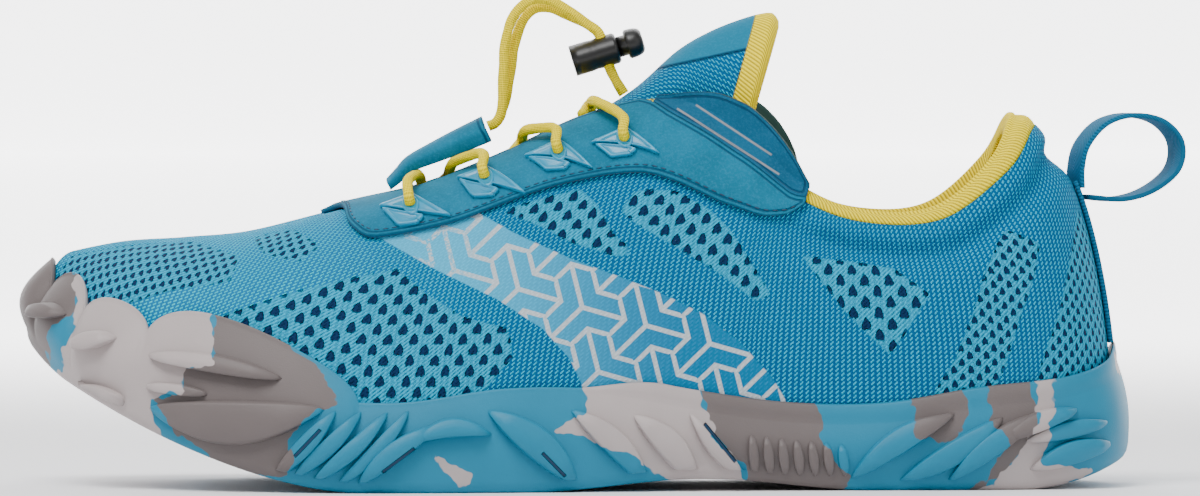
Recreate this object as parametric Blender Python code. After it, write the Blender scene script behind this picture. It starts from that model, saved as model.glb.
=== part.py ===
"""A barefoot shoe for the left foot: knit upper, moulded cup sole, elastic lace with a cord lock.

The toe points along -X, the outer side of the foot faces -Y, and the ground is at Z = 0.
The origin is on the ground under the heel.
"""

import math
from collections import namedtuple
from functools import lru_cache

import bmesh
import bpy
from mathutils import Vector

# Driving sizes of the last and the sole
LENGTH = 0.280
BALL_WIDTH = 0.102
HEEL_HEIGHT = 0.0925
INSTEP_HEIGHT = 0.097
TOE_SPRING = 0.031
ARCH_RISE = 0.003
BASE_THICK = 0.0085
RIM_HEIGHT = 0.026
LOBE_HEIGHT = 0.0105
LOBE_POWER = 0.55
HEEL_BACK = 0.136 * LENGTH

# Walls and clearances
GAP = 0.0003
SEAT = 0.00055
KNIT_WALL = 0.002
RIM_WALL = 0.0016
SIDE_OUT = 0.0036
SIDE_BULGE = 0.0013
EDGE_HEIGHT = 0.0024
EDGE_TUCK = 0.0016
RIM_ROWS = 2

# The sole's underside, whose starts and ends along it are shares of LENGTH
SPRING_START = 0.693
SPRING_END = 0.98
SPRING_POWER = 1.65
HEEL_ROLL = 0.009
HEEL_ROLL_END = 0.11
TOE_ROLL = 0.005
TOE_ROLL_START = 0.95
ARCH_START = 0.236
ARCH_END = 0.546
GROOVE_DEPTH = 0.0022
GROOVE_WIDTH = 0.0034
GROOVE_LEAN = 0.0084
GROOVE_STEP = 0.035
HEEL_GROOVES = (0.065, 0.105, 0.165, 0.205)
BALL_GROOVES = [0.575 + GROOVE_STEP * step for step in range(9)]

INSOLE_THICK = 0.003
INSOLE_CLEAR = 0.0012
SUEDE = 0.001
PLATE_SEAT = 0.0005
PLATE_THICK = 0.0008
TAPE_THICK = 0.0012
TAPE_HALF = 0.006
TAPE_FROM = 0.035
TAPE_END = 0.60
LACE_RADIUS = 0.00145
BAR_SHIFT = 0.003
EYELET_RADIUS = 0.0019
EYELET_CUT = 0.012
LEAF_HIGH = 0.0012
LEAF_DEEP = 0.0006

# The cord lock: half sizes across its oval, and lengths along its axis
LOCK_TILT = math.radians(17)
BARREL_WIDE = 0.0060
BARREL_HIGH = 0.0039
BARREL_FRONT = 0.0083
BARREL_REAR = 0.0032
LOCK_WALL = 0.0012
SLOT_HALF = 0.0018
CORD_APART = 0.0017
BUTTON_TRAVEL = 0.002
BUTTON_NECK = 0.0024
BUTTON_HEAD = 0.0045
BUTTON_TIP = 0.0040
HEAD_WIDE = 0.0051
HEAD_HIGH = 0.0037

# The padded collar
ROLL_HEIGHT = 0.010
CREASE_DEPTH = 0.0034
CREASE_WIDTH = 0.0034
LIP_IN = 0.004
LIP_DOWN = 0.0045
CREST = 0.004
COLLAR_RIB = 4.5
PAD_RIB = 6.3

UP = Vector((0, 0, 1))

# One row for each rib of the last, from the back of the heel to the tip of the toes. The x
# columns are shares of LENGTH from the back, the y columns shares of BALL_WIDTH, top_z a
# share of HEEL_HEIGHT up to rib 5 and of INSTEP_HEIGHT after it, full how round the rib is,
# swell a share of BALL_WIDTH and the rim columns shares of RIM_HEIGHT. "lat" is the outer
# side of the foot and "med" the inner side.
Section = namedtuple(
    "Section", "lat_x lat_y med_x med_y top_x top_lat top_med top_z full swell rim_lat rim_med")
SECTIONS = (
    Section(0.018, 0.000, 0.018, 0.000, 0.107, 0.000, 0.000, 1.000, 0.94, 0.00, 0.86, 0.86),
    Section(0.032, -0.167, 0.032, 0.167, 0.111, -0.137, 0.137, 0.984, 0.95, 0.00, 0.67, 0.67),
    Section(0.075, -0.275, 0.075, 0.270, 0.132, -0.245, 0.240, 0.876, 0.92, 0.02, 0.54, 0.54),
    Section(0.146, -0.324, 0.146, 0.304, 0.182, -0.284, 0.275, 0.751, 0.80, 0.03, 0.46, 0.46),
    Section(0.229, -0.338, 0.229, 0.294, 0.243, -0.289, 0.275, 0.738, 0.75, 0.03, 0.32, 0.42),
    Section(0.314, -0.353, 0.314, 0.265, 0.296, -0.275, 0.265, 0.795, 0.70, 0.02, 0.32, 0.50),
    Section(0.400, -0.382, 0.400, 0.250, 0.350, -0.235, 0.235, 0.887, 0.60, 0.02, 0.44, 0.65),
    Section(0.486, -0.426, 0.486, 0.275, 0.411, -0.172, 0.176, 0.987, 0.55, 0.02, 0.60, 0.65),
    Section(0.571, -0.471, 0.571, 0.333, 0.482, -0.127, 0.137, 0.951, 0.60, 0.01, 0.61, 0.60),
    Section(0.657, -0.490, 0.657, 0.392, 0.564, -0.108, 0.118, 0.843, 0.70, 0.00, 0.48, 0.58),
    Section(0.736, -0.471, 0.743, 0.431, 0.625, -0.088, 0.108, 0.771, 0.85, 0.00, 0.50, 0.54),
    Section(0.807, -0.412, 0.821, 0.436, 0.671, 0.010, 0.010, 0.730, 1.00, 0.00, 0.54, 0.50),
    Section(0.868, -0.324, 0.886, 0.402, 0.768, 0.030, 0.030, 0.660, 1.05, 0.00, 0.54, 0.50),
    Section(0.918, -0.206, 0.936, 0.338, 0.839, 0.060, 0.060, 0.639, 1.05, 0.00, 0.42, 0.46),
    Section(0.954, -0.069, 0.966, 0.245, 0.896, 0.085, 0.085, 0.629, 1.00, 0.00, 0.35, 0.38),
    Section(0.979, 0.098, 0.979, 0.098, 0.946, 0.105, 0.105, 0.603, 1.00, 0.00, 0.35, 0.35),
)
TOE_RIB = len(SECTIONS) - 1
TURN = 2 * TOE_RIB
LAST_HEEL_RIB = 5
THROAT_RIB = 11

# The rubber lobes over the toes: first and last place around the shoe, rise as a share of
# LOBE_HEIGHT, and how far each one stands out as a share of the side's bulge.
Lobe = namedtuple("Lobe", "start end rise out")
LOBES = (
    Lobe(9.5, 12.25, 1.00, 1.3),
    Lobe(12.25, 13.5, 0.52, 2.2),
    Lobe(13.5, 14.5, 0.67, 2.4),
    Lobe(14.5, 15.5, 0.62, 2.4),
    Lobe(15.5, 20.25, 0.90, 1.5),
)

# Raised leaves along both sides of the sole: rib and rise at each end, where a rise of 0 is
# the bottom edge and 1 the rim, and the leaf's width as a share of RIM_HEIGHT.
Leaf = namedtuple("Leaf", "rib rise end_rib end_rise width")
LEAVES = (
    Leaf(1.2, 0.10, 0.7, 0.80, 0.14),
    Leaf(3.1, 0.10, 1.3, 0.75, 0.17),
    Leaf(3.6, 0.12, 1.9, 0.85, 0.17),
    Leaf(4.4, 0.20, 3.5, 0.85, 0.15),
    Leaf(4.9, 0.75, 4.65, 0.20, 0.12),
    Leaf(5.25, 0.75, 5.0, 0.20, 0.12),
    Leaf(5.6, 0.80, 5.35, 0.20, 0.12),
    Leaf(6.55, 0.85, 5.9, 0.12, 0.17),
    Leaf(7.2, 0.85, 6.45, 0.10, 0.17),
    Leaf(8.1, 0.85, 7.1, 0.10, 0.20),
    Leaf(9.45, 0.12, 8.35, 0.78, 0.26),
    Leaf(9.9, 0.12, 9.25, 0.80, 0.17),
    Leaf(10.4, 0.14, 9.6, 0.80, 0.17),
)

# How far down each rib the suede stay reaches, and where its seam with the ankle wing runs
StayRow = namedtuple("StayRow", "rib low")
STAY_TAIL = 5.0
STAY_LOW = (
    StayRow(STAY_TAIL, 0.90), StayRow(5.12, 0.79), StayRow(5.5, 0.70), StayRow(6.0, 0.68),
    StayRow(7.0, 0.69), StayRow(8.0, 0.67), StayRow(9.0, 0.635), StayRow(10.0, 0.62),
    StayRow(10.5, 0.70), StayRow(11.0, 0.83), StayRow(11.5, 0.97),
)
STAY_SEAM = (
    StayRow(STAY_TAIL, 0.935), StayRow(5.12, 0.876), StayRow(5.6, 0.886), StayRow(6.3, 0.896),
    StayRow(6.7, 0.90), StayRow(7.0, 0.92), StayRow(7.4, 1.0),
)

WING_RIBS = [STAY_TAIL, STAY_TAIL + 0.25, 5.5, 6.0, 6.5, 7.0, 7.25]

# How high the ankle wing stands over the collar's edge, as shares of WING_RISE
WingRow = namedtuple("WingRow", "rib rise")
WING_RISE = 0.0082
WING_SEAM = 0.012
WING_LEAN = 0.12
WING_TOP = (
    WingRow(5.0, 0.05), WingRow(5.12, 0.42), WingRow(5.3, 0.72), WingRow(5.6, 0.94),
    WingRow(6.0, 1.0), WingRow(6.4, 0.76), WingRow(6.8, 0.30), WingRow(7.1, 0.04),
)

# Eyelets on each side, from the toe end to the ankle
Eyelet = namedtuple("Eyelet", "rib share")
EYELETS = (
    Eyelet(9.66, 0.734), Eyelet(8.83, 0.783), Eyelet(8.09, 0.788), Eyelet(7.36, 0.794),
)
# Corners of the plate around each eyelet, along the shoe and up, from the hole
PLATE_CORNERS = ((0.0005, 0.0034), (0.0081, -0.0025), (-0.0027, -0.0052), (-0.0086, -0.0015))

# The tongue: how far its crown stands over the throat's edges and leans back, as shares of
# TONGUE_RISE, and its thickness as a share of TONGUE_THICK
TongueRow = namedtuple("TongueRow", "rib rise lean thick")
TONGUE_RISE = 0.038
TONGUE_THICK = 0.008
TONGUE_CLEAR = 0.0008
TONGUE = (
    TongueRow(10.75, 0.00, 0.00, 0.25), TongueRow(10.0, 0.02, 0.00, 0.28),
    TongueRow(9.0, 0.03, 0.00, 0.35), TongueRow(8.0, 0.09, 0.00, 0.45),
    TongueRow(7.5, 0.18, 0.00, 0.55), TongueRow(7.0, 0.41, 0.02, 0.70),
    TongueRow(6.6, 0.64, 0.06, 0.90), TongueRow(6.3, 0.82, 0.14, 1.00),
    TongueRow(6.15, 0.90, 0.22, 0.90), TongueRow(6.08, 0.91, 0.27, 0.60),
)

# The lace keeper: place along LENGTH, how far its underside is over the upper and its
# thickness, both as shares of KEEPER_THICK
KeeperRow = namedtuple("KeeperRow", "share lift thick")
KEEPER_THICK = 0.006
KEEPER_HALF = 0.008
KEEPER = (
    KeeperRow(0.665, 0.42, 0.45), KeeperRow(0.656, 0.62, 0.55), KeeperRow(0.645, 0.92, 0.62),
    KeeperRow(0.620, 0.95, 0.80), KeeperRow(0.600, 0.93, 0.92), KeeperRow(0.575, 0.92, 1.00),
)

# Points around the keeper: back along the shoe and up as shares of its thickness, and
# across as a share of KEEPER_HALF
KeeperPoint = namedtuple("KeeperPoint", "back across up")
KEEPER_SECTION = (
    KeeperPoint(0.0, -1.0, 0.0), KeeperPoint(0.0, 1.0, 0.0), KeeperPoint(-0.3, 1.0, 0.6),
    KeeperPoint(-0.4, 0.4, 1.0), KeeperPoint(-0.4, -0.4, 1.0), KeeperPoint(-0.3, -1.0, 0.6),
)

# The pull loop at the heel: out from the tape's top and up from it, as shares
LoopPoint = namedtuple("LoopPoint", "out up")
LOOP_OUT = 0.0245
LOOP_UP = 0.0185
LOOP = (
    LoopPoint(0.00, 0.05), LoopPoint(0.00, 0.32), LoopPoint(0.06, 0.62), LoopPoint(0.25, 0.90),
    LoopPoint(0.52, 1.00), LoopPoint(0.80, 0.92), LoopPoint(0.97, 0.66), LoopPoint(0.94, 0.32),
    LoopPoint(0.70, 0.05), LoopPoint(0.40, -0.07), LoopPoint(0.06, -0.04),
)

# Where a crossing passes the near edge and the tongue's crown and where it ends, as shares of
# the way to the next eyelet, and how far over the tongue it reaches
CROSS_EDGE = 0.34
CROSS_CROWN = 0.50
CROSS_END = 0.62
CROSS_REACH = 0.62

# The lace's free loop, from the throat up through the lock and down to the keeper (X and Z)
LACE_ROUTE = (
    (-0.0897, 0.0978), (-0.0907, 0.0994), (-0.0918, 0.1013), (-0.0932, 0.1042),
    (-0.0946, 0.1084), (-0.0959, 0.1127), (-0.0985, 0.1150), (-0.1040, 0.1182),
    (-0.1085, 0.1203), (-0.1130, 0.1200), (-0.1165, 0.1160), (-0.1183, 0.1100),
    (-0.1190, 0.1035), (-0.1196, 0.0975), (-0.1204, 0.0932), (-0.1218, 0.0906),
    (-0.1237, 0.0897),
)
LOCK_STOP = 4


def lerp(low, high, share):
    return low + (high - low) * share


def smooth(share):
    share = min(max(share, 0.0), 1.0)
    return share * share * (3 - 2 * share)


def through(before, low, high, after, share):
    """Catmull-Rom value between low and high."""
    return 0.5 * (2 * low + (high - before) * share
                  + (2 * before - 5 * low + 4 * high - after) * share ** 2
                  + (3 * (low - high) + after - before) * share ** 3)


def curve_through(points, steps):
    """Points along a smooth curve through the given vectors."""
    ends = [points[0] * 2 - points[1], *points, points[-1] * 2 - points[-2]]
    found = []
    for place in range(len(points) - 1):
        near = ends[place:place + 4]
        found += [through(*near, step / steps) for step in range(steps)]
    return found + [points[-1]]


def rib_number(place):
    """How many ribs a place around the shoe is from the back of the heel."""
    place %= TURN
    return min(place, TURN - place)


# The last


def base_z(x):
    """Height of the sole's own level, which rises under the toes."""
    share = (HEEL_BACK - x) / LENGTH
    along = (share - SPRING_START) / (SPRING_END - SPRING_START)
    return TOE_SPRING * max(0.0, along) ** SPRING_POWER


Rib = namedtuple("Rib", "foot head outward full swell rim")


@lru_cache(maxsize=None)
def table_rib(index):
    """A row of the table as foot, head and the other values, in metres."""
    index %= TURN
    row = SECTIONS[min(index, TURN - index)]
    outer = index <= TOE_RIB
    foot_x, foot_y = (row.lat_x, row.lat_y) if outer else (row.med_x, row.med_y)
    tall = HEEL_HEIGHT if min(index, TURN - index) <= LAST_HEEL_RIB else INSTEP_HEIGHT
    foot = Vector((HEEL_BACK - foot_x * LENGTH, foot_y * BALL_WIDTH, 0))
    head = Vector((HEEL_BACK - row.top_x * LENGTH,
                   (row.top_lat if outer else row.top_med) * BALL_WIDTH, row.top_z * tall))
    return (foot, head, row.full, row.swell * BALL_WIDTH,
            (row.rim_lat if outer else row.rim_med) * RIM_HEIGHT)


def plain_rib(place):
    index = math.floor(place)
    near = [table_rib(index + step) for step in (-1, 0, 1, 2)]
    return [through(*[row[item] for row in near], place - index) for item in range(5)]


@lru_cache(maxsize=None)
def rib(place):
    """The rib at any place around the shoe, 0 at the heel and 15 at the toe tip."""
    foot, head, full, swell, rim = plain_rib(place)
    if rib_number(place) >= THROAT_RIB:
        head = (head + plain_rib(TURN - place)[1]) / 2
    foot.z = base_z(foot.x) + BASE_THICK + GAP
    along = plain_rib(place + 0.1)[0] - plain_rib(place - 0.1)[0]
    outward = Vector((-along.y, along.x, 0)).normalized()
    for lobe in LOBES:
        across = (place - (lobe.start + lobe.end) / 2) / ((lobe.end - lobe.start) / 2)
        if abs(across) < 1:
            rim += lobe.rise * LOBE_HEIGHT * (1 - across * across) ** LOBE_POWER
    return Rib(foot, head, outward, full, max(swell, 0.0), rim)


def spread(foot, head, full, share):
    """A point from foot to head: a straight line at full 0 and a quarter ellipse at 1."""
    angle = share * math.pi / 2
    across = lerp(share, 1 - math.cos(angle), full)
    up = lerp(share, math.sin(angle), full)
    return Vector((lerp(foot.x, head.x, across), lerp(foot.y, head.y, across),
                   lerp(foot.z, head.z, up)))


@lru_cache(maxsize=None)
def skin_cached(place, share):
    part = rib(place)
    point = spread(part.foot, part.head, part.full, share)
    down = (part.head.z - point.z - ROLL_HEIGHT) / CREASE_WIDTH
    crease = CREASE_DEPTH * (1 - smooth(rib_number(place) - COLLAR_RIB)) * math.exp(-down * down)
    return point + part.outward * (part.swell * math.sin(math.pi * share) - crease)


def skin(place, share):
    """The upper's outer surface: share 0 is its foot and 1 the collar, throat or ridge."""
    return skin_cached(place, share).copy()


def padding(place):
    return 1 - smooth(rib_number(place) - PAD_RIB)


def lining(place, share, depth=0.0):
    """The upper's inner surface, or one that lies the given depth inside it."""
    part = rib(place)
    pad = padding(place)
    foot = part.foot - part.outward * (KNIT_WALL + depth)
    head = (part.head - part.outward * LIP_IN * pad
            - UP * (lerp(KNIT_WALL, LIP_DOWN, pad) + depth))
    bulge = part.swell * math.sin(math.pi * share)
    return spread(foot, head, part.full, share) + part.outward * bulge


def normal(place, share):
    step = 0.01
    share = min(max(share, step), 0.97)
    along = skin(place + step, share) - skin(place - step, share)
    up = skin(place, share + step) - skin(place, share - step)
    return up.cross(along).normalized()


def lifted(place, share, height):
    """A point the given height off the upper's outer surface."""
    point = skin(place, share) + normal(place, share) * height
    if share >= 1 and rib_number(place) >= THROAT_RIB:
        other = TURN - place
        point = (point + skin(other, share) + normal(other, share) * height) / 2
    return point


def rim_share(place):
    """How far up the upper the rubber rim reaches."""
    part = rib(place)
    target = part.rim / (part.head.z - part.foot.z)
    low, high = 0.0, 0.9
    for _ in range(24):
        middle = (low + high) / 2
        reached = lerp(middle, math.sin(middle * math.pi / 2), part.full)
        low, high = (middle, high) if reached < target else (low, middle)
    return low


# Mesh building


def collection(name):
    made = bpy.data.collections.new(name)
    bpy.context.scene.collection.children.link(made)
    return made


def material(name, color, roughness, metallic=0.0):
    made = bpy.data.materials.new(name)
    made.use_nodes = True
    shader = made.node_tree.nodes["Principled BSDF"]
    shader.inputs["Base Color"].default_value = (*color, 1)
    shader.inputs["Roughness"].default_value = roughness
    shader.inputs["Metallic"].default_value = metallic
    made.diffuse_color = (*color, 1)
    return made


def add_object(name, bm, group, finish=None):
    mesh = bpy.data.meshes.new(name)
    bm.to_mesh(mesh)
    bm.free()
    made = bpy.data.objects.new(name, mesh)
    group.objects.link(made)
    if finish:
        mesh.materials.append(finish)
    return made


def rows_to_faces(bm, rows, wrap):
    """Join rows of vertices into quads, around as well if wrap is set."""
    for lower, upper in zip(rows, rows[1:]):
        count = len(lower)
        for index in range(count if wrap else count - 1):
            after = (index + 1) % count
            bm.faces.new((lower[index], lower[after], upper[after], upper[index]))


def close_up(bm):
    bmesh.ops.remove_doubles(bm, verts=bm.verts, dist=1e-6)
    bmesh.ops.dissolve_degenerate(bm, edges=bm.edges, dist=1e-7)
    bmesh.ops.triangulate(bm, faces=bm.faces)
    bmesh.ops.recalc_face_normals(bm, faces=bm.faces)


def loft(bm, rows):
    """A closed solid through rows of points that each go once around."""
    made = [[bm.verts.new(point) for point in row] for row in rows]
    rows_to_faces(bm, made, True)
    bm.faces.new(made[0])
    bm.faces.new(made[-1])


def cut(target, cutter, operation="DIFFERENCE"):
    change = target.modifiers.new(operation.title(), "BOOLEAN")
    change.operation = operation
    change.solver = "EXACT"
    change.object = cutter
    cutter.hide_render = True
    cutter.display_type = "WIRE"


def place_columns():
    """Places around the shoe, closer together at the toes and under the stay's tail."""
    side = [0.5 * step for step in range(11)] + [STAY_TAIL + 0.25]
    side += [5.5 + 0.5 * step for step in range(13)]
    side += [11.5 + 0.25 * step for step in range(1, 15)]
    return side + [TURN - place for place in reversed(side[1:-1])]


def rim_levels(place):
    top = rim_share(place)
    return [top * row / RIM_ROWS for row in range(RIM_ROWS + 1)]


def build_upper(group, finish):
    bm = bmesh.new()
    outer_shares = (0.2, 0.38, 0.5, 0.6, 0.7, 0.8, 0.9, 1.0)
    inner_shares = (0.0, 0.3, 0.55, 0.75, 0.9, 1.0)
    outer, inner, crest = [], [], []
    places = place_columns()
    for place in places:
        rim = rim_share(place)
        levels = rim_levels(place) + [lerp(rim, 1, share) for share in outer_shares]
        outer.append([bm.verts.new(skin(place, level)) for level in levels])
        levels = [0.0] + [lerp(rim, 1, share) for share in inner_shares]
        inner.append([bm.verts.new(lining(place, level)) for level in levels])
        middle = (outer[-1][-1].co + inner[-1][-1].co) / 2
        crest.append(bm.verts.new(middle + UP * CREST * padding(place)))
    outer_rows, inner_rows = list(zip(*outer)), list(zip(*inner))
    rows_to_faces(bm, outer_rows, True)
    rows_to_faces(bm, inner_rows, True)
    rows_to_faces(bm, [outer_rows[0], inner_rows[0]], True)
    open_part = [index for index, place in enumerate(places) if rib_number(place) <= THROAT_RIB]
    first = places.index(TURN - THROAT_RIB)
    order = sorted(open_part, key=lambda index: (index < first, index))
    edges = [[row[index] for index in order] for row in (outer_rows[-1], crest, inner_rows[-1])]
    rows_to_faces(bm, edges, False)
    for index in set(range(len(places))) - set(open_part):
        bm.verts.remove(crest[index])
    close_up(bm)
    return add_object("upper", bm, group, finish)


# The sole


def bottom_z(x):
    """The underside: flat under heel and ball, with an arch, a heel roll and a toe roll."""
    share = (HEEL_BACK - x) / LENGTH
    heel_roll = HEEL_ROLL * max(0.0, 1 - share / HEEL_ROLL_END) ** 2
    toe_roll = TOE_ROLL * max(0.0, (share - TOE_ROLL_START) / (1 - TOE_ROLL_START)) ** 2
    arch = min(max((share - ARCH_START) / (ARCH_END - ARCH_START), 0.0), 1.0)
    return base_z(x) + heel_roll + toe_roll + ARCH_RISE * math.sin(math.pi * arch) ** 2


def spine(place):
    """The middle of the sole between a place and the one across from it."""
    number = min(max(rib_number(place), 1.0), TOE_RIB - 1.0)
    middle = (rib(number).foot + rib(TURN - number).foot) / 2
    return middle


def bulge(place):
    """How far the side of the sole swells between edge and rim."""
    share = 1.0
    for lobe in LOBES:
        across = (place - (lobe.start + lobe.end) / 2) / ((lobe.end - lobe.start) / 2)
        if abs(across) < 1:
            share += lobe.out * (1 - across * across) ** 0.5
    return share * SIDE_BULGE


def side(place, rise):
    """A point of the sole's side: rise 0 is the bottom edge and 1 the top of the rim."""
    part = rib(place)
    low = part.foot + part.outward * SIDE_OUT
    low.z = bottom_z(low.x) + EDGE_HEIGHT
    top = lifted(place, rim_share(place), GAP + RIM_WALL)
    return low.lerp(top, rise) + part.outward * bulge(place) * math.sin(math.pi * rise)


def build_outsole(group, finish):
    bm = bmesh.new()
    columns = []
    for place in place_columns():
        part = rib(place)
        middle = spine(place)
        floor = Vector((middle.x, middle.y, base_z(middle.x) + BASE_THICK))
        foot = Vector((*part.foot.xy, base_z(part.foot.x) + BASE_THICK))
        foot += part.outward * GAP
        wall = [lifted(place, level, GAP) for level in rim_levels(place)[1:]]
        flank = [side(place, rise) for rise in (1.0, 0.75, 0.5, 0.25, 0.0)]
        tread = part.foot + part.outward * (SIDE_OUT - EDGE_TUCK)
        tread.z = bottom_z(tread.x)
        under = Vector((middle.x, middle.y, bottom_z(middle.x)))
        columns.append([floor, foot, *wall, *flank, tread, under])
    rows = [[bm.verts.new(point) for point in row] for row in zip(*columns)]
    rows_to_faces(bm, rows, True)
    close_up(bm)
    return add_object("outsole", bm, group, finish)


def build_insole(group, finish):
    bm = bmesh.new()
    columns = []
    for place in place_columns():
        part = rib(place)
        middle = spine(place)
        edge = part.foot - part.outward * (KNIT_WALL + INSOLE_CLEAR)
        column = [middle.xy, edge.xy, edge.xy, middle.xy]
        heights = (SEAT, SEAT, SEAT + INSOLE_THICK, SEAT + INSOLE_THICK)
        columns.append([Vector((*spot, base_z(spot.x) + BASE_THICK + height))
                        for spot, height in zip(column, heights)])
    rows = [[bm.verts.new(point) for point in row] for row in zip(*columns)]
    rows_to_faces(bm, rows, True)
    close_up(bm)
    return add_object("insole", bm, group, finish)


def from_table(rows, rib_value):
    """The second column of a short table at a rib, on straight lines between its rows."""
    for near, far in zip(rows, rows[1:]):
        if near[0] <= rib_value <= far[0]:
            return lerp(near[1], far[1], (rib_value - near[0]) / (far[0] - near[0]))
    return rows[0][1] if rib_value < rows[0][0] else rows[-1][1]


def add_leaves(group):
    """The raised leaves of both sides as one cutter that is joined to the sole."""
    bm = bmesh.new()
    for leaf in LEAVES:
        for sign in (1, -1):
            rows = []
            steps = max(2, round(abs(leaf.end_rib - leaf.rib) * 2))
            for share in [lerp(0.02, 0.98, step / steps) for step in range(steps + 1)]:
                place = (lerp(leaf.rib, leaf.end_rib, share) * sign) % TURN
                rise = lerp(leaf.rise, leaf.end_rise, share)
                half = leaf.width * RIM_HEIGHT / 2 * math.sin(math.pi * share) ** 0.7
                centre = side(place, rise)
                ahead = side((place - 0.2 * sign) % TURN, rise) - side(place, rise)
                run = (leaf.end_rib - leaf.rib, leaf.end_rise - leaf.rise)
                along = (ahead * (-run[0] * 5) + UP * side_height(place) * run[1]).normalized()
                out = rib(place).outward
                across = along.cross(out).normalized() * half
                high = LEAF_HIGH * math.sin(math.pi * share) ** 0.5
                rows.append([centre + across - out * LEAF_DEEP, centre + out * high,
                             centre - across - out * LEAF_DEEP])
            loft(bm, rows)
    bmesh.ops.recalc_face_normals(bm, faces=bm.faces)
    return add_object("leaves", bm, group)


def side_height(place):
    return (side(place, 1) - side(place, 0)).length


def add_grooves(group):
    """Chevron grooves across the tread, under the ball and under the heel."""
    bm = bmesh.new()
    half = BALL_WIDTH * 0.62
    for share in (*HEEL_GROOVES, *BALL_GROOVES):
        rows = []
        for across in (-1, 0, 1):
            x = HEEL_BACK - share * LENGTH + GROOVE_LEAN * abs(across)
            top = bottom_z(x) + GROOVE_DEPTH
            low = top - 5 * GROOVE_DEPTH
            near, far = x - GROOVE_WIDTH / 2, x + GROOVE_WIDTH / 2
            y = half * across
            rows.append([Vector((near, y, low)), Vector((far, y, low)),
                         Vector((far, y, top)), Vector((near, y, top))])
        loft(bm, rows)
    bmesh.ops.recalc_face_normals(bm, faces=bm.faces)
    return add_object("grooves", bm, group)


def close_sheet(bm, low, high):
    """A closed sheet between two grids of vertices."""
    rows_to_faces(bm, low, False)
    rows_to_faces(bm, high, False)
    for first, second in ((low[0], high[0]), (low[-1], high[-1]),
                          ([row[0] for row in low], [row[0] for row in high]),
                          ([row[-1] for row in low], [row[-1] for row in high])):
        rows_to_faces(bm, [first, second], False)
    close_up(bm)


def both_sides(numbers):
    """Places from the outer side over the toe end to the inner side."""
    return list(numbers) + [TURN - number for number in reversed(numbers)]


def build_eyestay(group, finish):
    """The suede stay: one U around the throat, under the lace."""
    numbers = WING_RIBS + [7.5 + 0.5 * step for step in range(9)]
    bm = bmesh.new()
    columns = []
    for place in both_sides(numbers):
        number = rib_number(place)
        low = from_table(STAY_LOW, number)
        high = from_table(STAY_SEAM, number) if number < STAY_SEAM[-1].rib else 1.0
        columns.append([(place, lerp(low, high, step / 4)) for step in range(5)])
    ridge = numbers.index(THROAT_RIB)
    count = len(numbers)
    sheet_over_ridge(bm, columns, ridge, count)
    return add_object("eyestay", bm, group, finish)


def sheet_over_ridge(bm, columns, ridge, count):
    """The stay's sheet, whose two halves meet on the ridge in front of the throat."""
    low = [[bm.verts.new(lifted(*spot, SEAT)) for spot in column] for column in columns]
    high = [[bm.verts.new(lifted(*spot, SEAT + SUEDE)) for spot in column] for column in columns]
    halves = ((low[:count], high[:count]), (low[count:], high[count:]))
    for near, far in halves:
        rows_to_faces(bm, near, False)
        rows_to_faces(bm, far, False)
        rows_to_faces(bm, [[row[0] for row in near], [row[0] for row in far]], False)
    rows_to_faces(bm, [low[0], high[0]], False)
    rows_to_faces(bm, [low[-1], high[-1]], False)
    rows_to_faces(bm, [low[count - 1], high[count - 1]], False)
    rows_to_faces(bm, [low[count], high[count]], False)
    for part in (slice(0, ridge + 1), slice(len(columns) - ridge - 1, len(columns))):
        rows_to_faces(bm, [[row[-1] for row in low[part]], [row[-1] for row in high[part]]],
                      False)
    close_up(bm)


def build_wing(group, finish, name, sign):
    """A suede wing behind the stay, standing up from the collar's edge."""
    bm = bmesh.new()
    low, high = [], []
    for number in WING_RIBS:
        place = number * sign % TURN
        start = from_table(STAY_SEAM, number) + WING_SEAM
        rise = WING_RISE * from_table(WING_TOP, number)
        away = (UP + rib(place).outward * WING_LEAN).normalized()
        for rows, height in ((low, SEAT), (high, SEAT + SUEDE)):
            points = [lifted(place, lerp(start, 1, share), height) for share in (0, 0.5, 1)]
            points += [points[-1] + away * rise * share for share in (0.5, 1)]
            rows.append([bm.verts.new(point) for point in points])
    close_sheet(bm, low, high)
    return add_object(name, bm, group, finish)


def beside(place, share, along, up):
    """The place and share a short way along the shoe (X) and up (Z) from a given one."""
    step = 0.05
    here = skin(place, share)
    by_place = (skin(place + step, share) - here) / step
    by_share = (skin(place, share + step) - here) / step
    area = by_place.x * by_share.z - by_place.z * by_share.x
    return (place + (along * by_share.z - up * by_share.x) / area,
            share + (up * by_place.x - along * by_place.z) / area)


def build_plate(group, finish, name, place, share):
    """A moulded plate around one eyelet."""
    corners = list(PLATE_CORNERS)
    rim = []
    for near, far in zip(corners, corners[1:] + corners[:1]):
        rim += [near, ((near[0] + far[0]) / 2, (near[1] + far[1]) / 2)]
    bm = bmesh.new()
    inner = SEAT + SUEDE + PLATE_SEAT
    rings = []
    for height, size in ((inner, 0.0), (inner, 0.5), (inner, 1.0),
                         (inner + PLATE_THICK, 1.0), (inner + PLATE_THICK, 0.0)):
        spots = [beside(place, share, along * size, up * size) for along, up in rim]
        rings.append([bm.verts.new(lifted(*spot, height)) for spot in spots])
    rows_to_faces(bm, rings, True)
    close_up(bm)
    return add_object(name, bm, group, finish)


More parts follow.
